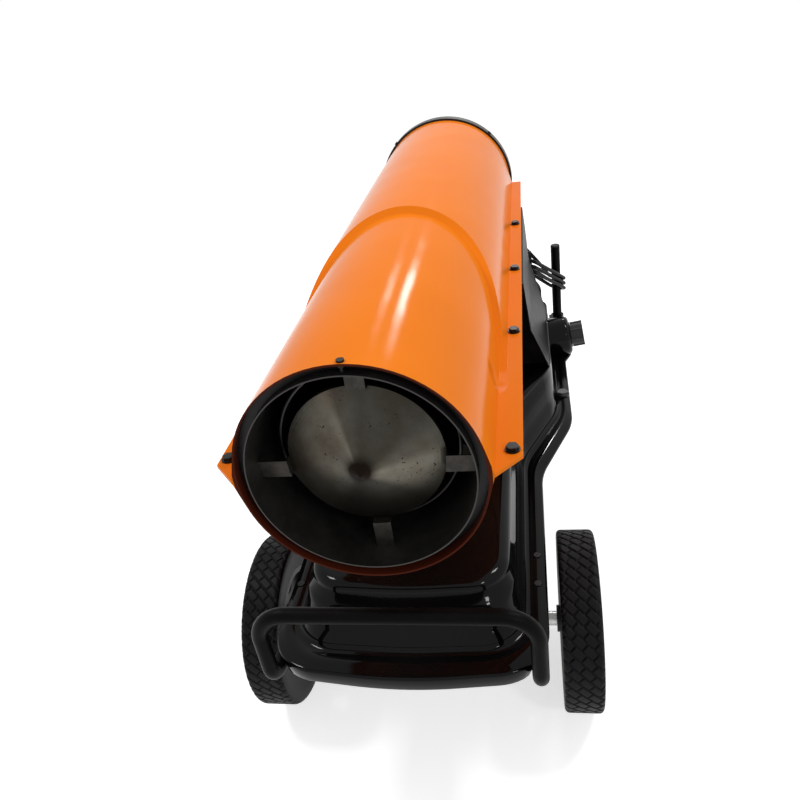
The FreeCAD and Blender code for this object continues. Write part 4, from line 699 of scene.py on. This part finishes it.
def tyre_section():
    """The section as (across, radius) points: shoulder, tread, shoulder, then down one sidewall to the bead
    seat and up the other."""
    half = TYRE_WIDTH / 2
    turn = np.linspace(0, math.pi / 2, SHOULDER_STEPS)
    tread = np.linspace(-half + SHOULDER, half - SHOULDER, TREAD_STEPS)
    right = np.column_stack((half - SHOULDER + SHOULDER * np.sin(turn),
                             TYRE_RADIUS - SHOULDER + SHOULDER * np.cos(turn)))
    left = right[::-1] * (-1, 1)
    side = np.column_stack((np.linspace(half, TYRE_BEAD / 2, SIDE_STEPS)[1:],
                            np.linspace(TYRE_RADIUS - 2 * SHOULDER, TYRE_INNER, SIDE_STEPS)[1:]))
    flat = np.column_stack((tread, np.full(TREAD_STEPS, TYRE_RADIUS)))
    return np.concatenate((left[:-1], flat, right[1:], side, side[::-1] * (-1, 1)))


def slanted_bricks(around, across):
    """How deep the groove is, 0 on a block and 1 in a groove: a brick wall turned by 45 degrees."""
    row = 2 * math.pi * TYRE_RADIUS * math.sqrt(0.5) / BLOCK_ROWS
    block = 2 * math.pi * TYRE_RADIUS * math.sqrt(0.5) / BLOCKS_IN_ROW
    up = (around + across) * math.sqrt(0.5)
    along = (around - across) * math.sqrt(0.5)
    number = np.floor(up / row)
    to_row = np.abs(up / row - np.round(up / row)) * row
    shifted = along / block + 0.5 * (number % 2)
    to_end = np.abs(shifted - np.round(shifted)) * block
    edge = np.minimum(to_row, to_end)
    return 1 - np.clip((edge - GROOVE_WIDTH / 2) / GROOVE_SLOPE, 0, 1)


def tyre_grid(wheel_x):
    """The section carried round the axle, with the tread's grooves sunk into it."""
    section = tyre_section()
    turn = np.linspace(0, 2 * math.pi, ROUND_STEPS, endpoint=False)
    across = np.broadcast_to(section[None, :, 0], (ROUND_STEPS, len(section)))
    radius = np.broadcast_to(section[None, :, 1], across.shape)
    on_tread = np.clip((radius - (TYRE_RADIUS - SHOULDER)) / SHOULDER, 0, 1)
    radius = radius - GROOVE_DEPTH * on_tread * slanted_bricks(turn[:, None] * TYRE_RADIUS, across)
    return np.stack((wheel_x + across, WHEEL_Y + radius * np.sin(turn)[:, None],
                     WHEEL_Z + radius * np.cos(turn)[:, None]), 2)


tyre_rubber = speckled("Tyre rubber", TYRE_BLACK, TYRE_WORN, roughness=0.48, spot_scale=50, grain_scale=700,
                       depth=0.00015, specular=0.10)
for side, wheel_x in (("left", -WHEEL_X), ("right", WHEEL_X)):
    dress(tyre_rubber, "tyre_" + side)
    tyre = closed_mesh("tread_tyre_" + side, [tyre_grid(wheel_x)], capped=False)
    tyre.data.materials.append(tyre_rubber)
    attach(tyre, "wheel_" + side)
    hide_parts("tyre_" + side)

# Power cord: a round rubber-sheathed lead out of its gland, wound three times round the hook and the right
# post, one turn below another, then down behind the tank to its plug.

CORD_RADIUS = 0.004
GLAND_END = np.array((0.148, 0.369, 0.440))
HOOK = np.array((0.170, 0.374, 0.392))
POST = np.array((0.230, 0.483, 0.305))
PLUG_TOP = np.array((0.192, 0.500, 0.240))
WIND_RADIUS = 0.0185
WIND_TOP = 0.016
WIND_PITCH = 0.012
WIND_TURNS = 3
ARC_POINTS = 9
SHEATH_BLACK = (0.004, 0.004, 0.004)
SHEATH_WORN = (0.007, 0.007, 0.007)


def winding():
    """Turns of a stadium between the post and the hook, sinking evenly with the length wound."""
    run = POST - HOOK
    ahead = run / np.linalg.norm(run)
    across = np.cross((0, 0, 1), ahead)
    across /= np.linalg.norm(across)
    arc = np.linspace(0, math.pi, ARC_POINTS)
    loop = 2 * np.linalg.norm(run) + 2 * math.pi * WIND_RADIUS
    stretches = []
    for turn in range(WIND_TURNS):
        for spot, heading, start in ((POST, 1, 0), (HOOK, -1, loop / 2)):
            out = heading * np.sin(arc)[:, None] * ahead + heading * np.cos(arc)[:, None] * across
            wound = turn * loop + start + arc * WIND_RADIUS
            fall = (WIND_TOP - WIND_PITCH * wound / loop)[:, None] * (0, 0, 1)
            stretches.append(spot + WIND_RADIUS * out + fall)
    return np.concatenate(stretches)


turns = winding()
lead = np.array([GLAND_END, GLAND_END + (0.001, 0.022, 0.000), GLAND_END + (0.012, 0.055, -0.020),
                 turns[0] + (GLAND_END - turns[0]) * 0.30 + (0.002, 0.006, 0.004)])
tail = np.array([turns[-1] + (PLUG_TOP - turns[-1]) * 0.35 + (0.002, 0.012, 0.012),
                 PLUG_TOP + (0, -0.004, 0.055), PLUG_TOP + (0, 0, 0.025), PLUG_TOP])
route = np.concatenate((lead, turns, tail))
line = bpy.data.curves.new("power_cord_line", "CURVE")
line.dimensions = "3D"
line.bevel_depth = CORD_RADIUS
line.bevel_resolution = 5
line.resolution_u = 6
spline = line.splines.new("NURBS")
spline.points.add(len(route) - 1)
spline.points.foreach_set("co", np.column_stack((route, np.ones(len(route)))).ravel())
spline.order_u = 3
spline.use_endpoint_u = True
spline.use_smooth = True
cord = bpy.data.objects.new("wound_cord", line)
scene.collection.objects.link(cord)
sheath = speckled("Shiny cord sheath", SHEATH_BLACK, SHEATH_WORN, roughness=0.26, spot_scale=90,
                  specular=0.04)
cord.data.materials.append(sheath)
dress(sheath, "power_cord")
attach(cord, "frame")
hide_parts("power_cord")

# Floor: a plain white sheet under the wheels and the rear feet, bright to the camera and in reflections,
# with the heater's soft shadow on it.

FLOOR_SPAN = 60.0
FLOOR_COLOUR = (0.86, 0.86, 0.86)
FLOOR_GLOW = 0.64


def seen_rays(tree):
    """1 for rays that the eye follows: straight from the camera, mirrored or through glass."""
    path = shader_node(tree, "LightPath")
    mirrored = math_node(tree, "MAXIMUM", path.outputs["Is Glossy Ray"],
                         path.outputs["Is Transmission Ray"])
    return math_node(tree, "MAXIMUM", path.outputs["Is Camera Ray"], mirrored)


paper, paper_tree, paper_shader = principled("White floor paper", FLOOR_COLOUR, roughness=0.9, specular=0.0)
paper_shader.inputs["Emission Color"].default_value = (1, 1, 1, 1)
link(paper_tree, math_node(paper_tree, "MULTIPLY", seen_rays(paper_tree), FLOOR_GLOW),
     paper_shader.inputs["Emission Strength"])
floor_corners = np.array([(-1, -1, 0), (1, -1, 0), (1, 1, 0), (-1, 1, 0)]) * FLOOR_SPAN / 2
floor_mesh = bpy.data.meshes.new("floor")
floor_mesh.from_pydata(floor_corners.tolist(), [], [(0, 1, 2, 3)])
floor = bpy.data.objects.new("floor", floor_mesh)
floor.data.materials.append(paper)
scene.collection.objects.link(floor)

# Light: a white room that lights softly, lamps high on both sides, a small one in front, and two small
# ones behind whose images are the streaks along the barrel.

ROOM_LIGHT = 0.42
world = bpy.data.worlds.new("White room")
world.use_nodes = True
room = world.node_tree
room.nodes["Background"].inputs["Color"].default_value = (1, 1, 1, 1)
seen = math_node(room, "MULTIPLY", seen_rays(room), 1 - ROOM_LIGHT)
link(room, math_node(room, "ADD", seen, ROOM_LIGHT), room.nodes["Background"].inputs["Strength"])
scene.world = world


def lamp(name, place, aim, size, power):
    """A square area lamp, turned so that it shines from its place at its aim."""
    light = bpy.data.lights.new(name, "AREA")
    light.size = size
    light.energy = power
    fixture = bpy.data.objects.new(name, light)
    fixture.location = place
    fixture.rotation_euler = (Vector(aim) - Vector(place)).to_track_quat("-Z", "Y").to_euler()
    scene.collection.objects.link(fixture)


BARREL_MIDDLE = (0, 0, BARREL_HEIGHT)
lamp("high_left_lamp", (-1.6, -0.2, 2.6), BARREL_MIDDLE, size=0.5, power=23)
lamp("high_right_lamp", (1.5, 0.3, 2.6), BARREL_MIDDLE, size=0.5, power=26)
lamp("front_right_lamp", (1.3, -1.9, 1.7), BARREL_MIDDLE, size=0.25, power=7)
lamp("rear_lamp", (0.29, 2.0, 1.73), BARREL_MIDDLE, size=0.16, power=6.5)
lamp("rear_left_lamp", (-0.10, 2.0, 1.76), BARREL_MIDDLE, size=0.14, power=1.6)

# Camera: where the photograph was taken, close over the outlet on its right, turned a little to the left,
# tipped down and slightly rolled.

CAMERA_PLACE = (0.182, -1.127, 0.970)
CAMERA_YAW = math.radians(-12.50)
CAMERA_PITCH = math.radians(30.13)
CAMERA_ROLL = math.radians(-9.16)
FOCAL_PIXELS = 736.8
IMAGE_PIXELS = 800

level_ahead = Vector((math.sin(CAMERA_YAW), math.cos(CAMERA_YAW), 0))
level_right = Vector((math.cos(CAMERA_YAW), -math.sin(CAMERA_YAW), 0))
view_ahead = level_ahead * math.cos(CAMERA_PITCH) - Vector((0, 0, math.sin(CAMERA_PITCH)))
view_down = view_ahead.cross(level_right)
image_right = level_right * math.cos(CAMERA_ROLL) - view_down * math.sin(CAMERA_ROLL)
image_down = level_right * math.sin(CAMERA_ROLL) + view_down * math.cos(CAMERA_ROLL)
lens = bpy.data.cameras.new("photo_camera")
lens.lens = FOCAL_PIXELS / IMAGE_PIXELS * lens.sensor_width
camera = bpy.data.objects.new("photo_camera", lens)
aim = Matrix((image_right, -image_down, -view_ahead)).transposed()
camera.matrix_world = Matrix.Translation(CAMERA_PLACE) @ aim.to_4x4()
scene.collection.objects.link(camera)
scene.camera = camera
scene.view_settings.view_transform = "Standard"
